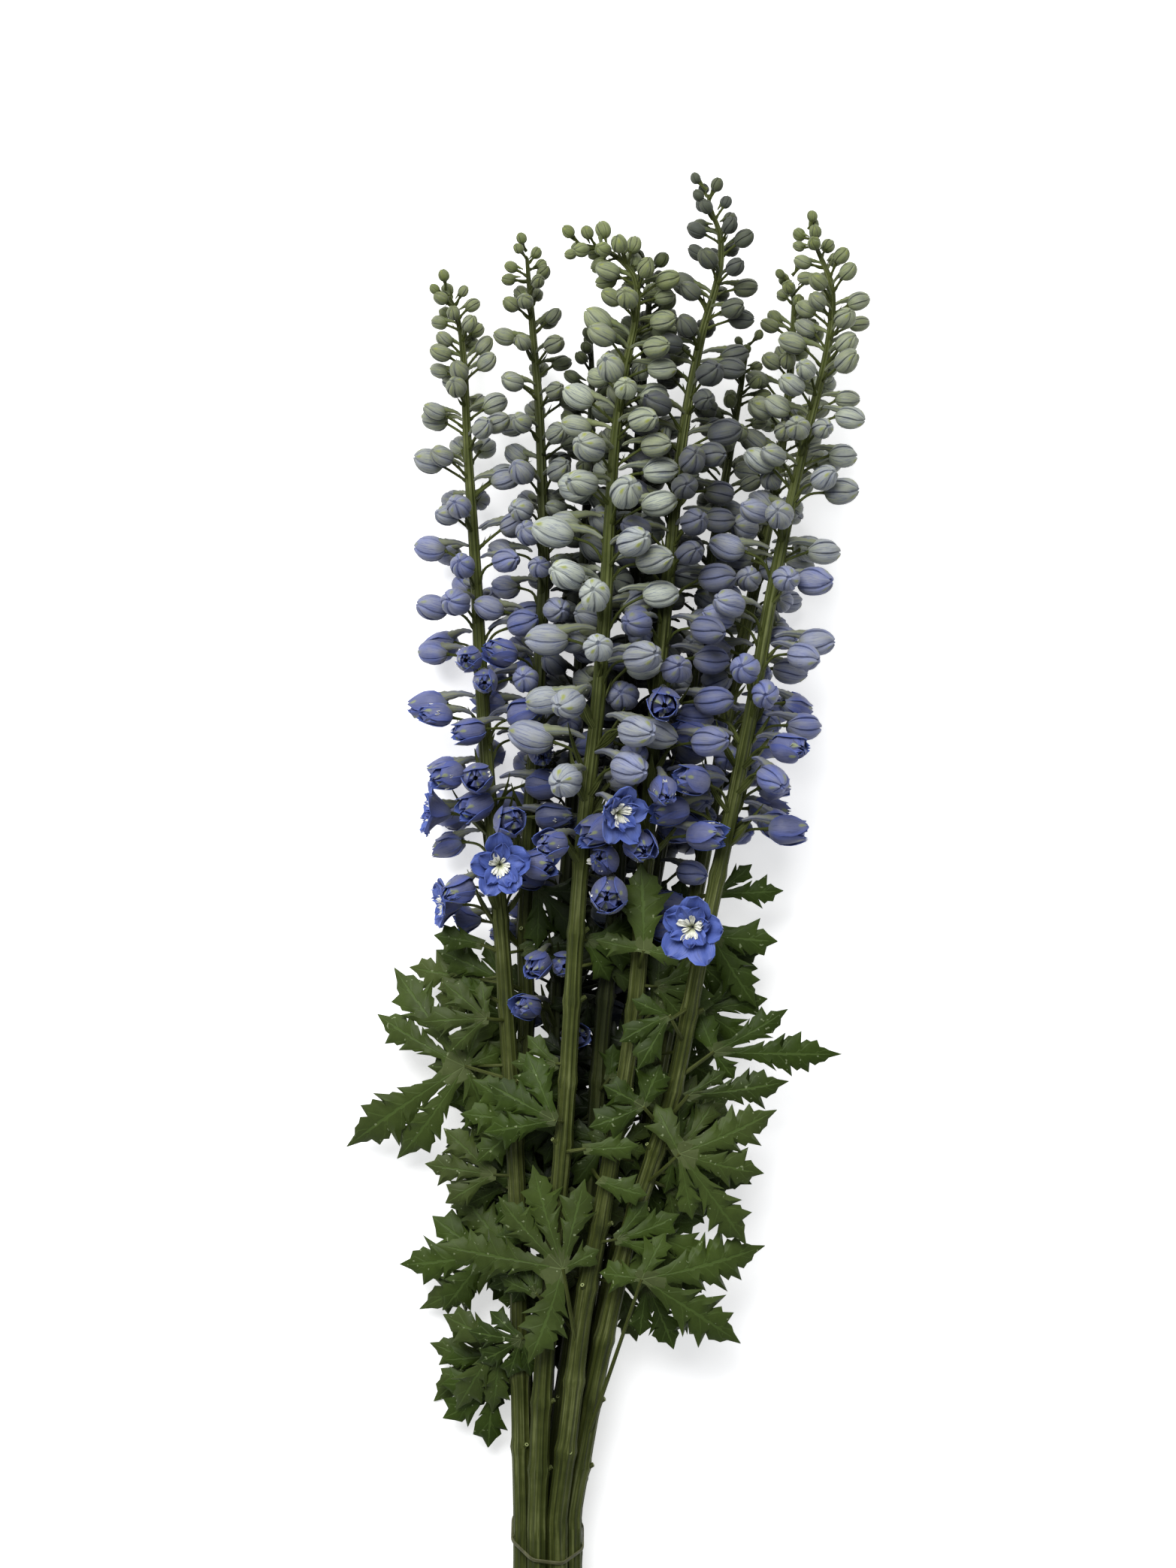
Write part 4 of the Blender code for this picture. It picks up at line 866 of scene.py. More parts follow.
# The florets. Spurred buds that ripen from olive at the tip of a spike to violet-blue at its foot, where some
# have opened round a white bee. Each grew on its own thin pedicel, in a spiral round the stalk.
# Along a spike, from its lowest flower (0) to its tip (1).
BUD_LENGTH = [(0, 27), (0.25, 25), (0.45, 22), (0.65, 18.5), (0.85, 13.5), (1, 8)]
BUD_RADIUS = [(0, 10.2), (0.25, 9.6), (0.45, 8.6), (0.65, 7.2), (0.85, 5.4), (1, 3.6)]
PEDICEL_LENGTH = [(0, 29), (0.25, 25), (0.5, 18), (0.75, 12), (1, 6)]
BUD_TILT = [(0, 98), (0.3, 86), (0.7, 72), (0.92, 55), (1, 25)]  # degrees from the stalk's direction
PEDICEL_TILT = 52
PEDICEL_RADIUS = 1.05
SPUR_SHARE = 0.72  # of the bud's length
GOLDEN_ANGLE = 137.5
CLOSER_TO_TIP = 0.42  # how much closer the flowers stand at the tip than halfway up
PRESS = 0.8  # how far a bud may be flattened by the table
BENDS_FROM = 21.0  # mm of pedicel
SPUR_FROM = 12.0  # mm of bud
ROUNDEST = 0.46  # the most that a bud's radius is of its length
OPEN_FROM = 0.86  # ripeness from which a bud's mouth opens
BLOOM_DEPTH = 0.72  # how far up the axis and how far from it a bloom's edge is, as shares of its length
BLOOM_SPREAD = 0.86

# Blooms that are open in the photo: their stem, where they leave it, the side they face (0 right, 90 at the
# camera), how open, their length, their pedicel's, and their tilt from the stalk.
BLOOMS = [
    ("left", 46, 88, "bloom", 24, 26, 95),
    ("right", 6, 104, "bloom", 26, 28, 92),
    ("front", 84, 55, "bloom", 23, 26, 94),
    ("left", 20, 166, "bloom", 22, 25, 86),
    ("left", 78, 172, "bloom", 23, 27, 78),
    ("dark", 62, 14, "opening", 25, 28, 86),
    ("right", 70, 2, "opening", 25, 26, 80),
    ("left_low", 2, 188, "bloom", 21, 30, 90),
    ("front", 62, 120, "opening", 24, 27, 84),
    ("back_left", -76, 70, "opening", 22, 26, 82),
    ("back_left", -52, 150, "opening", 22, 26, 82),
    ("middle", 4, 40, "opening", 22, 24, 80),
]


class Floret:
    """One bud or bloom on its pedicel: its place, size and ripeness."""

    def __init__(self, stalk, s, t, azimuth, draws, kind=None):
        self.stalk, self.s, self.t, self.azimuth = stalk, s, t, azimuth
        size = stalk.facts["size"] * (1 + 0.08 * draws[0])
        self.length = along(BUD_LENGTH, t) * size
        self.radius = min(along(BUD_RADIUS, t) * size, self.length * ROUNDEST)
        self.reach = along(PEDICEL_LENGTH, t) * (1 + 0.15 * draws[1])
        self.tilt = along(BUD_TILT, t) + 10 * draws[2]
        self.ripeness = min(1.0, max(0.0, stalk.facts["ripe"] * (1.22 - 1.15 * t) + 0.06 * draws[3]))
        self.kind = kind or ("opening" if self.ripeness > OPEN_FROM else "bud")
        self.settle()

    def settle(self, turn=0.0, stretch=1.0, lean=0.0, shrink=1.0):
        """Places it, turned round the stalk, its pedicel stretched and leaned, its bud made smaller."""
        ahead = self.stalk.direction(self.s)
        side, over = sides_of(ahead)
        out = around(side, over, math.radians(self.azimuth + turn))
        seat = around(side, over, math.radians(60 * round((self.azimuth + turn) / 60)))
        centre, radius = self.stalk.point(self.s), self.stalk.radius(self.s)
        self.root = centre + seat * radius * 0.5
        start = centre + seat * radius
        away = around(ahead, out, math.radians(PEDICEL_TILT + lean))
        self.base = start + away * self.reach * stretch
        self.axis = around(ahead, out, math.radians(self.tilt + lean * 0.6))
        self.up = unit(ahead - self.axis * (ahead @ self.axis))
        self.bend = (self.root + self.base) / 2
        if self.reach > BENDS_FROM:
            self.bend = start + unit(away * 0.8 + ahead * 0.5) * self.reach * stretch * 0.55
        self.size = (self.length * shrink, self.radius * shrink)

    def spur(self):
        """The spur's root, bend and end."""
        long, wide = self.size
        root = self.base + self.axis * long * 0.26 + self.up * wide * 0.52
        tail = root - self.axis * (long * (0.26 + SPUR_SHARE * 0.5)) + self.up * wide * 0.18
        return root, tail, tail - self.axis * long * SPUR_SHARE * 0.45 - self.up * wide * 0.22

    def rods(self):
        long, wide = self.size
        if self.kind == "bloom":
            mouth = self.base + self.axis * long * 0.55
            body = [(self.base + self.axis * 3, mouth, wide * 0.9)]
            for k in range(10):
                rim = around(self.up, np.cross(self.axis, self.up), 2 * math.pi * k / 10)
                edge = self.base + self.axis * long * BLOOM_DEPTH + rim * (long * BLOOM_SPREAD - 2)
                body.append((mouth, edge, 2.4))
        else:
            inset = wide * 0.85
            body = [(self.base + self.axis * inset, self.base + self.axis * (long - inset), wide * 0.98)]
        root, tail, end = self.spur()
        thin = [(root, tail, long * 0.12), (tail, end, long * 0.06)] if self.has_spur() else []
        foot = self.root + (self.bend - self.root) * 0.4
        return body, [*thin, (foot, self.bend, PEDICEL_RADIUS), (self.bend, self.base, PEDICEL_RADIUS)]

    def has_spur(self):
        return self.size[0] > SPUR_FROM

    def fits(self, others, own, clear=CLEARANCE):
        body, thin = self.rods()
        for rod in body:
            if min(rod[0][2], rod[1][2]) - rod[2] < -PRESS:
                return False
            if gap(rod, others) < clear or gap(rod, own) < min(clear, 0.0):
                return False
        return all(
            gap(rod, others) > clear and min(rod[0][2], rod[1][2]) - rod[2] > 0.3 for rod in thin
        )


# Ways to bend a floret clear, the slightest first: turned round the stalk, stretched, leaned, made smaller.
WAYS_CLEAR = sorted(
    (
        (abs(turn) / 14 + abs(stretch - 1) * 4 + abs(lean) / 14 + (1 - shrink) * 16,
         turn, stretch, lean, shrink)
        for turn in (0, 9, -9, 18, -18, 28, -28, 40, -40, 55, -55)
        for stretch in (1, 0.8, 1.25, 0.55)
        for lean in (0, -14, 14, -26, 28)
        for shrink in (1, 0.86, 0.72)
    )
)


def fit_floret(floret, room, clear=CLEARANCE):
    """Bends a floret the least that clears what is there, and takes its room. False where nothing clears."""
    far = floret.reach + floret.length * 2.5
    others = room.near(floret.base, far, floret.stalk.name)
    own = room.near(floret.base, far)
    for _, *way in WAYS_CLEAR:
        floret.settle(*way)
        if floret.fits(others, own, clear):
            body, thin = floret.rods()
            room.take(body + thin, floret.stalk.name)
            return True
    return False


def spiral(stalk, draw, shares, start, span, wander, size=1.0):
    """Florets in a spiral up a stalk, each at its share of the span and wandering a little round it."""
    azimuth = draw.uniform(0, 360)
    for t in shares:
        s = min(start + span * t * (1 + CLOSER_TO_TIP * (1 - t)), stalk.length - 1)
        azimuth += GOLDEN_ANGLE + draw.uniform(-wander, wander)
        floret = Floret(stalk, s, t, azimuth, [draw.uniform(-1, 1) for _ in range(4)])
        floret.length *= size
        floret.radius *= size
        yield floret


# The open blooms where the photo has them, then each spike's buds from bottom to top, and then the florets
# between these, a little smaller, wherever a bud still fits.
MORE_FLORETS = 34  # tried on each stalk
MORE_SIZE = 0.92
FLORET_PRESS = -1.0  # how far a soft bud may press into what is beside it
WANDER, MORE_WANDER = 14, 20  # degrees

florets = []
for stem, y, azimuth, kind, length, reach, tilt in BLOOMS:
    floret = Floret(by_name[stem], by_name[stem].at_y(y), 0.0, azimuth, [0, 0, 0, 0.4], kind)
    floret.length, floret.reach, floret.tilt = length, reach, tilt
    if fit_floret(floret, room):
        florets.append(floret)
for number, stalk in enumerate(stalks):
    draw = random.Random(BUNCH_SEED + number)
    count, start = stalk.facts["count"], stalk.flowers_at
    shares = [k / (count - 1) for k in range(count)]
    spike = spiral(stalk, draw, shares, start, stalk.length - 1.0 - start, WANDER)
    florets += [floret for floret in spike if fit_floret(floret, room)]
for number, stalk in enumerate(stalks):
    draw = random.Random(BUNCH_SEED * 23 + number)
    shares = [(k + 0.5) / MORE_FLORETS for k in range(MORE_FLORETS)]
    span = stalk.length - stalk.flowers_at + 12
    spike = spiral(stalk, draw, shares, stalk.flowers_at - 14, span, MORE_WANDER, MORE_SIZE)
    florets += [floret for floret in spike if fit_floret(floret, room, FLORET_PRESS)]


def bud_skin():
    """Bud skin: olive in the young ones, through grey-lilac to violet-blue, veined, with painted shade in the
    creases of its sepals, a yellow-green spot near each sepal's tip, dark seams and a fine grey down."""
    skin = Finish("bud_skin", 0.6, Specular_IOR_Level=0.25, Sheen_Weight=0.06, Sheen_Roughness=0.45)
    across, along_it = skin.place()
    ripe, pale, chance = skin.mark()
    inside = across.sum("FRACT")
    edge = abs(inside - 0.5) * 2.0
    cloud = skin.noise(90.0, 4.0, 0.6)
    level = ripe + (cloud - 0.5) * 0.5 + (edge - 0.45) * 0.16 - along_it.fade(0.3, 0.0, 0.0, 0.22)
    colour = level.ramp(
        (0.0, (0.085, 0.105, 0.022)), (0.2, (0.125, 0.142, 0.05)), (0.4, (0.16, 0.17, 0.11)),
        (0.56, (0.155, 0.16, 0.17)), (0.72, (0.16, 0.172, 0.255)), (0.86, (0.13, 0.15, 0.3)),
        (1.0, (0.075, 0.105, 0.31)),
    )
    strand = skin.noise(2.0, 3.0, 0.6, at=(across * 9.0, along_it * 1.3, chance * 37.0))
    # painted shade in the creases down each sepal
    crease_shade = abs((inside * (3 * math.pi)).sum("SINE")).fade(0.5, 0.05) * along_it.fade(0.9, 0.5, 0.0, 0.16)
    seam = edge.fade(0.86, 0.99) * along_it.fade(0.97, 0.72, 0.25, 1.0)
    for share, young, grown in (
        (pale, (0.32, 0.37, 0.17), (0.48, 0.5, 0.54)),
        (strand.fade(0.5, 0.64) * 0.6, (0.07, 0.085, 0.05), (0.075, 0.09, 0.27)),
        (crease_shade, (0.045, 0.055, 0.025), (0.055, 0.065, 0.16)),
        (seam * 0.55, (0.035, 0.045, 0.02), (0.03, 0.04, 0.12)),
    ):
        colour = skin.mix(share, colour, skin.mix(ripe, young, grown))
    outer = across.sum("FLOOR").sum("MODULO", 2.0).fade(0.3, 0.6, 1.0, 0.15)
    away = ((inside - 0.5) * 1.25).away((along_it - 0.87) * 2.6) / outer
    gland = (away + cloud * 0.12).fade(0.33, 0.1) * pale.fade(0.0, 0.5, 0.5, 0.9)
    colour = skin.mix(gland, colour, (0.21, 0.235, 0.035))
    fine = skin.noise(700.0, 2.0)
    colour = skin.mix(fine.fade(0.62, 0.78, 0.0, 0.14), colour, (0.4, 0.4, 0.4))
    dusk = (pale * -1.0).fade(0.0, 1.0, 0.0, 0.8)
    colour = skin.mix(dusk, colour, (0.034, 0.038, 0.042))
    return skin.wear(colour, strand * 0.9 + fine * 0.15 - seam, 0.5, 0.0007)


SEPALS = 5
SEPAL_COLUMNS = 4
BUD_COLUMNS = SEPALS * (SEPAL_COLUMNS + 1)
BUD_ROWS = [(0.0, 0.26), (0.05, 0.5), (0.13, 0.73), (0.26, 0.92), (0.42, 1.0), (0.58, 0.99), (0.72, 0.9),
            (0.84, 0.72), (0.93, 0.47), (0.985, 0.2)]
SEPAL_LAP = 0.11  # how far one sepal's edge stands over the next, as a share of the radius
SEPAL_SWELL = 0.075
SEPAL_SHARES = [(0.24, 0.16, 0.22, 0.15, 0.23), (0.21, 0.24, 0.14, 0.2, 0.21), (0.27, 0.14, 0.2, 0.24, 0.15)]
SEAM_TWIST = 0.38
BUD_LEAN = ((-0.07, 0.07), (-0.04, 0.08))
BUD_SQUEEZE = (0.93, 1.04)
SPUR_SIDES = 8
SPUR_STEP = 0.085
WRINKLE = 0.1
WRINKLES = 31


def bud_pattern(shares, twist):
    """One bud, 1 long and 1 wide: overlapping sepals round a hollow tip, each with its share of the turn."""
    starts = np.concatenate([[0], np.cumsum(shares)]) - shares[0] / 2
    points, uvs, faces = [], [], []
    columns = BUD_COLUMNS
    for t, r in BUD_ROWS:
        for sepal in range(SEPALS):
            for j in range(SEPAL_COLUMNS + 1):
                u = j / SEPAL_COLUMNS
                share = starts[sepal] + shares[sepal] * (0.5 + (u - 0.5) * 0.985)
                turn = 2 * math.pi * share + twist * t**3
                near_tip = max(0.0, t - 0.55)
                wide = r * (1 + SEPAL_LAP * (u - 0.5) + SEPAL_SWELL * (math.sin(math.pi * u) - 0.6))
                long = t + near_tip * 0.16 * (math.sin(math.pi * u) - 0.5)
                points.append((wide * math.cos(turn), wide * math.sin(turn), long))
    points.append((0, 0, 0.9))
    rows = len(BUD_ROWS)
    for i in range(rows - 1):
        for j in range(columns):
            k = (j + 1) % columns
            sepal, step = divmod(j, SEPAL_COLUMNS + 1)
            faces.append((i * columns + j, i * columns + k, (i + 1) * columns + k, (i + 1) * columns + j))
            u = [sepal + min(at, SEPAL_COLUMNS) / SEPAL_COLUMNS * 0.998 + 0.001 for at in (step, step + 1)]
            v = (BUD_ROWS[i][0], BUD_ROWS[i + 1][0])
            uvs.append(((u[0], v[0]), (u[1], v[0]), (u[1], v[1]), (u[0], v[1])))
    last = (rows - 1) * columns
    caps = [(last + j, last + (j + 1) % columns, rows * columns) for j in range(columns)]
    cap_uvs = [((0.98, 0.97), (0.98, 0.97), (0.98, 1.0))] * columns
    return np.array(points), np.array(faces), np.array(uvs), np.array(caps), np.array(cap_uvs)


bud_patterns = [bud_pattern(shares, twist) for shares in SEPAL_SHARES for twist in (-SEAM_TWIST, SEAM_TWIST)]


def grow_bud(growth, floret, draw, ripe, pale):
    """Places one bud on its pedicel, a little lopsided, with its spur."""
    long, wide = floret.size
    axis, up = floret.axis, floret.up
    across = np.cross(axis, up)
    lean = [draw.uniform(*most) for most in BUD_LEAN]
    squeeze = draw.uniform(*BUD_SQUEEZE)
    bud_points, bud_faces, bud_uvs, bud_caps, bud_cap_uvs = draw.choice(bud_patterns)
    x, y, z = bud_points.T
    points = (floret.base + np.outer(x * wide * squeeze + z**2 * long * lean[1], up)
              + np.outer(y * wide / squeeze + z**2 * long * lean[0], across) + np.outer(z * long, axis))
    mark = (ripe, pale, draw.random())
    growth.add(points, bud_faces, bud_uvs, mark)
    growth.add(points, bud_caps, bud_cap_uvs, mark)
    foot = np.vstack([points[:BUD_COLUMNS], floret.base])
    fan = np.array([((j + 1) % BUD_COLUMNS, j, BUD_COLUMNS) for j in range(BUD_COLUMNS)])
    growth.add(foot, fan, np.full((BUD_COLUMNS, 3, 2), (0.5, 0.02)), mark)
    grow_spur(growth, floret, draw, mark)


def grow_spur(growth, floret, draw, mark):
    """The hollow spur drawn back from the upper sepal, wrinkled and bent at its end."""
    long, wide = floret.size
    root, tail, end = floret.spur()
    if not floret.has_spur():
        end = tail
        tail = (root + tail) / 2
    start = root + floret.axis * long * 0.16 - floret.up * wide * 0.1
    line = smooth_path([start, root, tail, end], long * SPUR_STEP)
    share = np.linspace(0, 1, len(line))
    radii = long * taper(line, [0, 0.2, 0.5, 0.8, 0.95, 1], [0.16, 0.155, 0.1, 0.062, 0.055, 0.03])
    radii *= 1 + WRINKLE * np.sin(share * WRINKLES + draw.uniform(0, 6))
    mark = (mark[0] * 0.72, mark[1] * 0.4, mark[2])
    grow_tube(growth, line, radii, SPUR_SIDES, mark, over=floret.up, v_scale=0.3)


LOW_BRACTS = 0.16  # up to here along the head, the bracts are long and leafy
LEAFY = (2.3, 1.7)  # how much longer and thicker they are
BRACT_REACH = (8, 15)
BRACTEOLE_REACH = (4.5, 9)
BRACTEOLE_RADII = (0.34, 0.26, 0.1)


def grow_pedicel(growth, floret, draw):
    """The floret's own thin stalk, with a bract below it and two hair-thin bracteoles near the bud."""
    share = 1 - 0.5 * floret.t
    line = smooth_path([floret.root, floret.bend, floret.base + floret.axis * 1.2], 3.0)
    thick = PEDICEL_RADIUS * (0.72 + 0.28 * share)
    radii = thick * taper(line, [0, 0.12, 0.85, 1], [1.5, 0.95, 0.9, 1.5])
    grow_tube(growth, line, radii, 6, (0.75, 0.0, draw.random()))
    stalk_way = floret.stalk.direction(floret.s)
    out = unit(floret.bend - floret.root)
    beside = unit(np.cross(out, stalk_way))
    low_bract = floret.t < LOW_BRACTS
    reach = draw.uniform(*BRACT_REACH) * share * (LEAFY[0] if low_bract else 1.0)
    foot = floret.root + out * floret.stalk.radius(floret.s) * 0.5 - stalk_way * 1.2
    sweep = unit(out * 0.8 + stalk_way * draw.uniform(-0.1, 0.5) + beside * draw.uniform(-0.4, 0.4))
    bract = [foot, foot + sweep * reach * 0.4, foot + sweep * reach * 0.8 + stalk_way * reach * 0.12,
             foot + sweep * reach + stalk_way * reach * 0.25]
    bract = smooth_path(bract, reach / 6)
    radii = taper(bract, [0, 0.3, 1], [0.8, 1.0, 0.12]) * (1.1 * share)
    if low_bract:
        radii = radii * LEAFY[1]
    grow_tube(growth, bract, radii, 4, (0.7, 0.0, draw.random()), over=beside, flat=2.0)
    for way in (-1, 1):
        start = floret.base + (floret.bend - floret.base) * draw.uniform(0.12, 0.35)
        on = unit(floret.base - floret.bend) * draw.uniform(0.2, 0.9)
        ahead = unit(on + beside * way * draw.uniform(0.5, 1) + stalk_way * draw.uniform(-0.5, 0.4))
        reach = draw.uniform(*BRACTEOLE_REACH) * share
        tip = start + ahead * reach + stalk_way * draw.uniform(-1.5, 1.5)
        line = [start, start + ahead * reach * 0.55, tip]
        grow_tube(growth, line, BRACTEOLE_RADII, 3, (0.8, 0.0, draw.random()))


def sepal_sheet(growth, floret, turn, outline, rows, columns, draw, mark, curl=0.0, ruffle=0.0):
    """One sepal or petal as a curved sheet. outline: along it (0 to 1), its distance from the axis, its
    height up the axis and half its width, all as shares of the floret's length."""
    long, _ = floret.size
    axis, up = floret.axis, floret.up
    across = np.cross(axis, up)
    table = np.array(outline)
    s = np.linspace(0, 1, rows)
    out, height, half = (np.interp(s, table[:, 0], table[:, k]) * long for k in (1, 2, 3))
    w = np.linspace(-1, 1, columns)
    phase = draw.uniform(0, 6)
    tangential = half[:, None] * w[None, :]
    cup = tangential**2 / (2 * np.maximum(out, half * 0.9)[:, None])
    wave = ruffle * long * (s[:, None] ** 2) * np.sin(w[None, :] * 5 + phase + s[:, None] * 3)
    radial = out[:, None] - cup * (1 - curl)
    tall = height[:, None] + wave + curl * cup
    tall = tall + long * 0.03 * (s[:, None] > 0.95) * np.cos(w[None, :] * 6)
    way = around(up, across, turn)
    aside = around(across, -up, turn)
    points = (floret.base + radial[..., None] * way + tangential[..., None] * aside
              + tall[..., None] * axis).reshape(-1, 3)
    faces, uvs = grid_faces(rows, columns)
    growth.add(points, faces, uvs, mark)


def petal_skin(name, deep, light, edge_tint, spotted):
    """Sepal or petal skin with fine veins, deeper towards the edge; the outside has a grey-green tip spot."""
    skin = Finish(name, 0.5, Specular_IOR_Level=0.3, Sheen_Weight=0.08, Sheen_Roughness=0.4)
    across, along_it = skin.place()
    ripe, _, chance = skin.mark()
    level = skin.noise(110.0, 4.0, 0.6) * 0.9 + (ripe - 0.5) * 0.5
    colour = skin.mix(level.fade(0.25, 0.8), light, deep)
    wide = abs(across - 0.5) * 2.0
    colour = skin.mix(wide.fade(0.35, 1.0, 0.0, 0.65), colour, edge_tint)
    strand = skin.noise(2.0, 3.0, 0.6, at=(across * 11.0, along_it * 1.2, chance * 41.0))
    colour = skin.mix(strand.fade(0.52, 0.68, 0.0, 0.45), colour, tuple(c * 0.4 for c in deep))
    colour = skin.mix(along_it.fade(0.28, 0.0, 0.0, 0.5), colour, (0.17, 0.19, 0.2))
    if spotted:
        away = ((across - 0.5) * 1.6).away((along_it - 0.88) * 2.2)
        colour = skin.mix(away.fade(0.26, 0.1, 0.0, 0.75), colour, (0.22, 0.25, 0.09))
    return skin.wear(colour, strand, 0.45, 0.0006)


def bee_skin():
    """The bee's cream-white petals, with yellow-green at their foot."""
    skin = Finish("bee_skin", 0.55, Sheen_Weight=0.3)
    across, along_it = skin.place()
    cloud = skin.noise(300.0)
    colour = along_it.ramp((0.05, (0.05, 0.055, 0.02)), (0.3, (0.35, 0.37, 0.2)), (0.6, (0.74, 0.74, 0.66)))
    colour = skin.mix(cloud.fade(0.55, 0.75, 0.0, 0.35), colour, (0.45, 0.47, 0.33))
    return skin.wear(colour, cloud + (across * 12.0).sum("SINE"), 0.4, 0.0004)


# Along a sepal: how far (0 to 1), from the axis, up the axis, half its width.
OPENING_SEPAL = [(0, 0.09, 0.03, 0.06), (0.15, 0.25, 0.1, 0.2), (0.4, 0.38, 0.36, 0.29),
                 (0.65, 0.4, 0.64, 0.29), (0.85, 0.37, 0.86, 0.2), (1, 0.36, 1.02, 0.05)]
BLOOM_SEPAL = [(0, 0.08, 0.02, 0.06), (0.15, 0.22, 0.14, 0.16), (0.4, 0.38, 0.42, 0.3),
               (0.65, 0.6, 0.62, 0.37), (0.85, 0.78, 0.7, 0.28), (0.95, 0.85, 0.72, 0.15),
               (1, 0.87, 0.72, 0.04)]
INNER_PETAL = [(0, 0.05, 0.3, 0.05), (0.3, 0.16, 0.46, 0.14), (0.65, 0.36, 0.62, 0.24),
               (0.9, 0.54, 0.7, 0.17), (1, 0.6, 0.72, 0.05)]
BEE_PETAL = [(0, 0.03, 0.36, 0.02), (0.4, 0.1, 0.5, 0.04), (0.8, 0.24, 0.6, 0.075), (1, 0.3, 0.62, 0.05)]
CLOSED_PETAL = [(0, 0.05, 0.3, 0.05), (0.5, 0.22, 0.6, 0.22), (0.85, 0.2, 0.86, 0.2), (1, 0.06, 0.93, 0.06)]
SEPAL_GRID = (9, 9)
INNER_GRID = (7, 7)
BEE_GRID = (6, 5)
BEE_PETALS = (4, 9)  # in an opening bloom, and in an open one


def grow_bloom(petals, bees, floret, draw, ripe):
    """An open or opening bloom: five outer sepals, a ruffled inner row and the bee in the middle."""
    full = floret.kind == "bloom"
    outline = BLOOM_SEPAL if full else OPENING_SEPAL
    gape = 0.0 if full else draw.uniform(-0.4, 0.02)
    for k in range(SEPALS):
        turn = 2 * math.pi * k / SEPALS + draw.uniform(-0.18, 0.18)
        reach = draw.uniform(0.86, 1.1)
        lift = draw.uniform(0.94, 1.05)
        lean = gape + draw.uniform(-0.14, 0.14)
        broad = draw.uniform(0.98, 1.2)
        shaped = [(s, out * reach + lean * max(0, s - 0.35) ** 1.3, up * lift, half * broad)
                  for s, out, up, half in outline]
        mark = (ripe, 0.0, draw.random())
        curl, ruffle = (0.3, 0.065) if full else (0.0, 0.035)
        sepal_sheet(petals, floret, turn, shaped, *SEPAL_GRID, draw, mark, curl, ruffle)
    inners = SEPALS + 2 if full else SEPALS - 2
    for k in range(inners):
        turn = 2 * math.pi * (k + 0.5) / inners + draw.uniform(-0.3, 0.3)
        size = draw.uniform(0.75, 1.15) if full else draw.uniform(0.9, 1.3)
        inner = INNER_PETAL if full else CLOSED_PETAL
        shaped = [(s, out * size, up * draw.uniform(0.96, 1.06), half * size) for s, out, up, half in inner]
        mark = (min(1.0, ripe + 0.1), 0.0, draw.random())
        sepal_sheet(petals, floret, turn, shaped, *INNER_GRID, draw, mark, curl=0.25, ruffle=0.09)
    for k in range(BEE_PETALS[full]):
        turn = 2 * math.pi * k / BEE_PETALS[full] + draw.uniform(-0.3, 0.3)
        size = draw.uniform(0.7, 1.25)
        shaped = [(s, out * size, up + 0.05 * draw.random(), half * size) for s, out, up, half in BEE_PETAL]
        mark = (ripe, 0.0, draw.random())
        sepal_sheet(bees, floret, turn, shaped, *BEE_GRID, draw, mark, curl=0.5, ruffle=0.09)


florets_by_stem = {stalk.name: [floret for floret in florets if floret.stalk is stalk] for stalk in stalks}
bud_finish = bud_skin()
inside_tints = (0.06, 0.095, 0.33), (0.13, 0.175, 0.42), (0.085, 0.13, 0.42)
outside_tints = (0.09, 0.102, 0.21), (0.165, 0.172, 0.25), (0.062, 0.088, 0.31)
petal_finishes = [petal_skin("petal_outside", *outside_tints, True),
                  petal_skin("petal_inside", *inside_tints, False)]
bee_finish = bee_skin()
PALEST_AT = 0.52  # the ripeness at which the buds of a pale spike are palest
PETAL_WALL = 0.35
BEE_WALL = 0.3
for stalk in stalks:
    draw = random.Random(BUNCH_SEED * 13 + len(stalk.name))
    buds, pedicels, petals, bees = Growth(), Growth(), Growth(), Growth()
    for floret in florets_by_stem[stalk.name]:
        grow_pedicel(pedicels, floret, draw)
        ripe = floret.ripeness
        from_palest = (ripe - PALEST_AT) / 0.34 if ripe > PALEST_AT else (PALEST_AT - ripe) / 0.62
        pale = stalk.facts["pale"] * max(0.0, 1 - from_palest) * draw.uniform(0.35, 1.1)
        if stalk.name == "dark":
            pale = -draw.uniform(0.55, 1.0) * min(1.0, 0.3 + 1.4 * floret.t)
        if floret.kind == "bud":
            grow_bud(buds, floret, draw, ripe, min(1.0, pale))
        else:
            mark = (min(ripe, 0.8) if floret.kind == "opening" else 0.75, 0.0, draw.random())
            grow_spur(buds, floret, draw, mark)
            grow_bloom(petals, bees, floret, draw, max(ripe, 0.7))
    node = f"stem_{stalk.name}"
    buds.make(f"buds_{stalk.name}", [bud_finish], node, "bud_lilac")
    pedicels.make(f"pedicels_{stalk.name}", [stalk_finish], node, "stem_green")
    if petals.count:
        petals.make(f"petals_{stalk.name}", petal_finishes, node, "petal_blue", PETAL_WALL, rim=1)
        bees.make(f"bees_{stalk.name}", [bee_finish], node, "bee_white", BEE_WALL)


# The small leaves. Three-lobed and five-lobed leaves of the same green that grew along each stalk below its
# flowers. They fill the bunch between and behind the stalks, pressed in against one another.
SMALL_LEAVES = 300  # tried, and kept where there is room
SMALL_LEAF_PRESS = -2.2  # how far a soft small leaf may press into what is beside it
SMALL_LEAF_Y = (-300, 56)
LEFT_ONLY_BELOW = -225
SMALL_LEAF_SIZE = (28, 54)
LOBE_GAP = (34, 46)  # degrees
SMALL_LEAF_LIFTS = [(0,), (-5,), (5,), (-10,), (10,)]

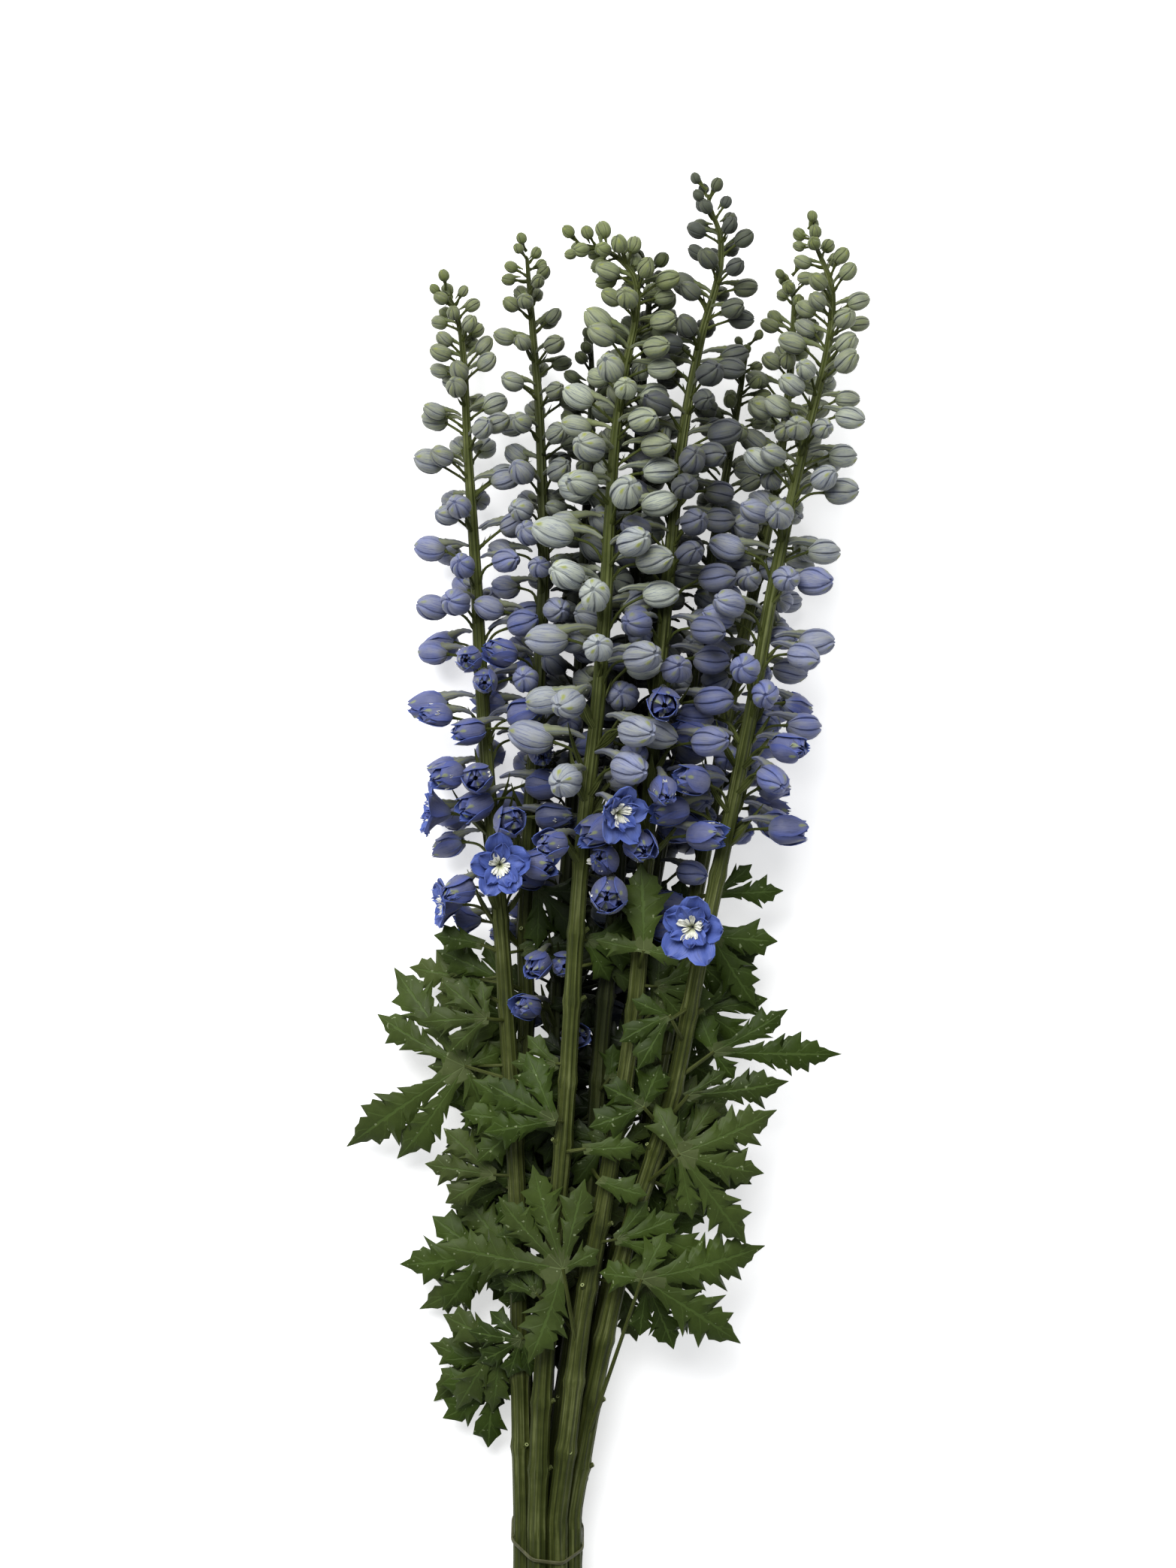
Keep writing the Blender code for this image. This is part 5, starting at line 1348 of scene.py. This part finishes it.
small_leaves = []
draw = random.Random(BUNCH_SEED * 17)
for _ in range(SMALL_LEAVES):
    stalk = draw.choice(stalks)
    y = draw.triangular(*SMALL_LEAF_Y, sum(SMALL_LEAF_Y) / 2)
    heading = draw.uniform(0, 360) if y > LEFT_ONLY_BELOW else draw.uniform(110, 235)
    out = math.radians(heading)
    away = draw.uniform(8, 24)
    base = stalk.point(stalk.at_y(y)) + [
        math.cos(out) * away, math.sin(out) * away * 0.7, draw.uniform(-26, 4)
    ]
    size = draw.uniform(*SMALL_LEAF_SIZE)
    count = draw.choice([3, 3, 5])
    spread = draw.uniform(*LOBE_GAP)
    lobes = []
    for k in range(count):
        from_middle = k - (count - 1) / 2
        length = size * (1 - 0.14 * abs(from_middle)) * draw.uniform(0.8, 1.1)
        lobes.append((heading + from_middle * spread, length, size * 0.4))
    leaf = Leaf(stalk, (y, base, draw.uniform(0.05, 0.35), lobes), draw)
    if fit_leaf(leaf, room, 2.2 * size + away, SMALL_LEAF_LIFTS, SMALL_LEAF_PRESS):
        small_leaves.append(leaf)

make_leaves("small_", small_leaves, 19, (0.3, 3), [1.8, 1.2, 0.9], 6)


# The rubber band. An ordinary flat band of tan-green rubber, pulled over the cut ends and drawn tight round
# the eight outer stalks. It dips at the front where the stalks slide past one another.
BAND_GAP = 0.35
BAND_THICK = 1.1
BAND_WIDE = 2.6
BAND_Y = -394.0
BAND_TIP = 0.6
BAND_SIDE_TIP = 0.12
BAND_SMOOTH_UP_TO = math.radians(60)
RING_STALKS = 8


def band_skin():
    """Dull rubber, mottled with dust."""
    skin = Finish("band_rubber", 0.55, Specular_IOR_Level=0.35)
    cloud = skin.noise(160.0, 5.0, 0.65)
    dust = ((0.3, (0.045, 0.046, 0.016)), (0.55, (0.075, 0.076, 0.03)), (0.75, (0.13, 0.13, 0.06)))
    colour = cloud.ramp(*dust)
    return skin.wear(colour, cloud + skin.noise(1400.0, 2.0) * 0.4, 0.35, 0.0003, paint_heart_shade=False)


loop = []
for k in range(RING_STALKS):
    middle = math.radians(22.5 + 45 * k)
    for share in (-0.5, -0.25, 0, 0.25, 0.5):
        angle = middle + math.radians(45) * share
        reach = STALK_BASE_RADIUS + BAND_GAP + BAND_THICK / 2
        x, z = TIE_RING * around(*np.eye(2), middle) + around(*np.eye(2), angle) * reach
        place = np.array([TIE_X + x, BAND_Y - BAND_TIP * z - BAND_SIDE_TIP * x, TIE_Z + z])
        loop.append((*((place - FRAME_MIDDLE) * MM), 1))
line = bpy.data.curves.new("rubber_loop", "CURVE")
line.dimensions = "3D"
run = line.splines.new("POLY")
run.points.add(len(loop) - 1)
run.points.foreach_set("co", np.ravel(loop))
run.use_cyclic_u = True
line.bevel_depth = BAND_THICK / 2 * MM
line.extrude = (BAND_WIDE - BAND_THICK) / 2 * MM
line.bevel_resolution = 3
set_out("band_of_rubber", line)
bpy.ops.object.convert(target="MESH")
band = bpy.context.view_layer.objects.active
for corner in band.data.vertices:
    corner.co.z = max(corner.co.z, FLOOR_CLEAR * MM)
bpy.ops.object.shade_smooth_by_angle(angle=BAND_SMOOTH_UP_TO)
band.select_set(False)
band.data.materials.clear()
band.data.materials.append(band_skin())
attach(band, "root")
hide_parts("rubber_band")


# The table and the light. The bunch lies on a plain white sheet under one broad soft light and a bright room,
# and the camera looks straight down on it.
SHEET_GLOW = 0.55
SHEET_SIZE = 8
SHEET_BELOW = 0.0004


def sheet_skin():
    """Smooth white board with the faintest mottle."""
    skin = Finish("white_board", 0.9, Emission_Color=(1, 1, 1), Emission_Strength=SHEET_GLOW)
    mottle = skin.noise(3.0, 2.0) * 0.1
    return skin.wear(skin.mix(mottle, (0.8, 0.8, 0.8), (0.77, 0.77, 0.77)), paint_heart_shade=False)


bpy.ops.object.select_all(action="DESELECT")
bpy.ops.mesh.primitive_plane_add(size=SHEET_SIZE, location=(0, 0, -SHEET_BELOW))
board = bpy.context.object
board.name = "white_board"
board.data.materials.append(sheet_skin())

VIEW_MIDDLE = (-0.0123, 0.1068)  # what the middle of the photo looks at, in metres
VIEW_FROM = 2.3
VIEW_HEIGHT = 1.0435  # of the photo's frame, at the height of the front stems
FRONT_STEMS = 0.06
SENSOR = 24.0
lens = bpy.data.cameras.new("camera")
lens.sensor_fit = "VERTICAL"
lens.sensor_height = SENSOR
lens.lens = SENSOR * (VIEW_FROM - FRONT_STEMS) / VIEW_HEIGHT
lens.clip_end = 50
camera = set_out("camera", lens)
camera.location = (*VIEW_MIDDLE, VIEW_FROM)
bpy.context.scene.camera = camera

ROOM_TINT = (0.93, 0.96, 1.0, 1)
ROOM_LIGHT = 0.38
room_light = bpy.data.worlds.new("room")
room_light.use_nodes = True
sky = room_light.node_tree.nodes["Background"]
sky.inputs["Color"].default_value = ROOM_TINT
sky.inputs["Strength"].default_value = ROOM_LIGHT
bpy.context.scene.world = room_light

WINDOW_SIZE = 1.4
WINDOW_WATTS = 62
WINDOW_AT = Vector((-0.45, 1.25, 1.65))
WINDOW_FACES = Vector((0, 0.1, 0))
window = bpy.data.lights.new("soft_window", "AREA")
window.shape = "RECTANGLE"
window.size = WINDOW_SIZE
window.size_y = WINDOW_SIZE
window.energy = WINDOW_WATTS
lamp = set_out("soft_window", window)
lamp.location = WINDOW_AT
lamp.rotation_euler = (WINDOW_FACES - WINDOW_AT).to_track_quat("-Z", "Y").to_euler()
bpy.ops.object.select_all(action="DESELECT")
bpy.context.scene.view_settings.view_transform = "Standard"
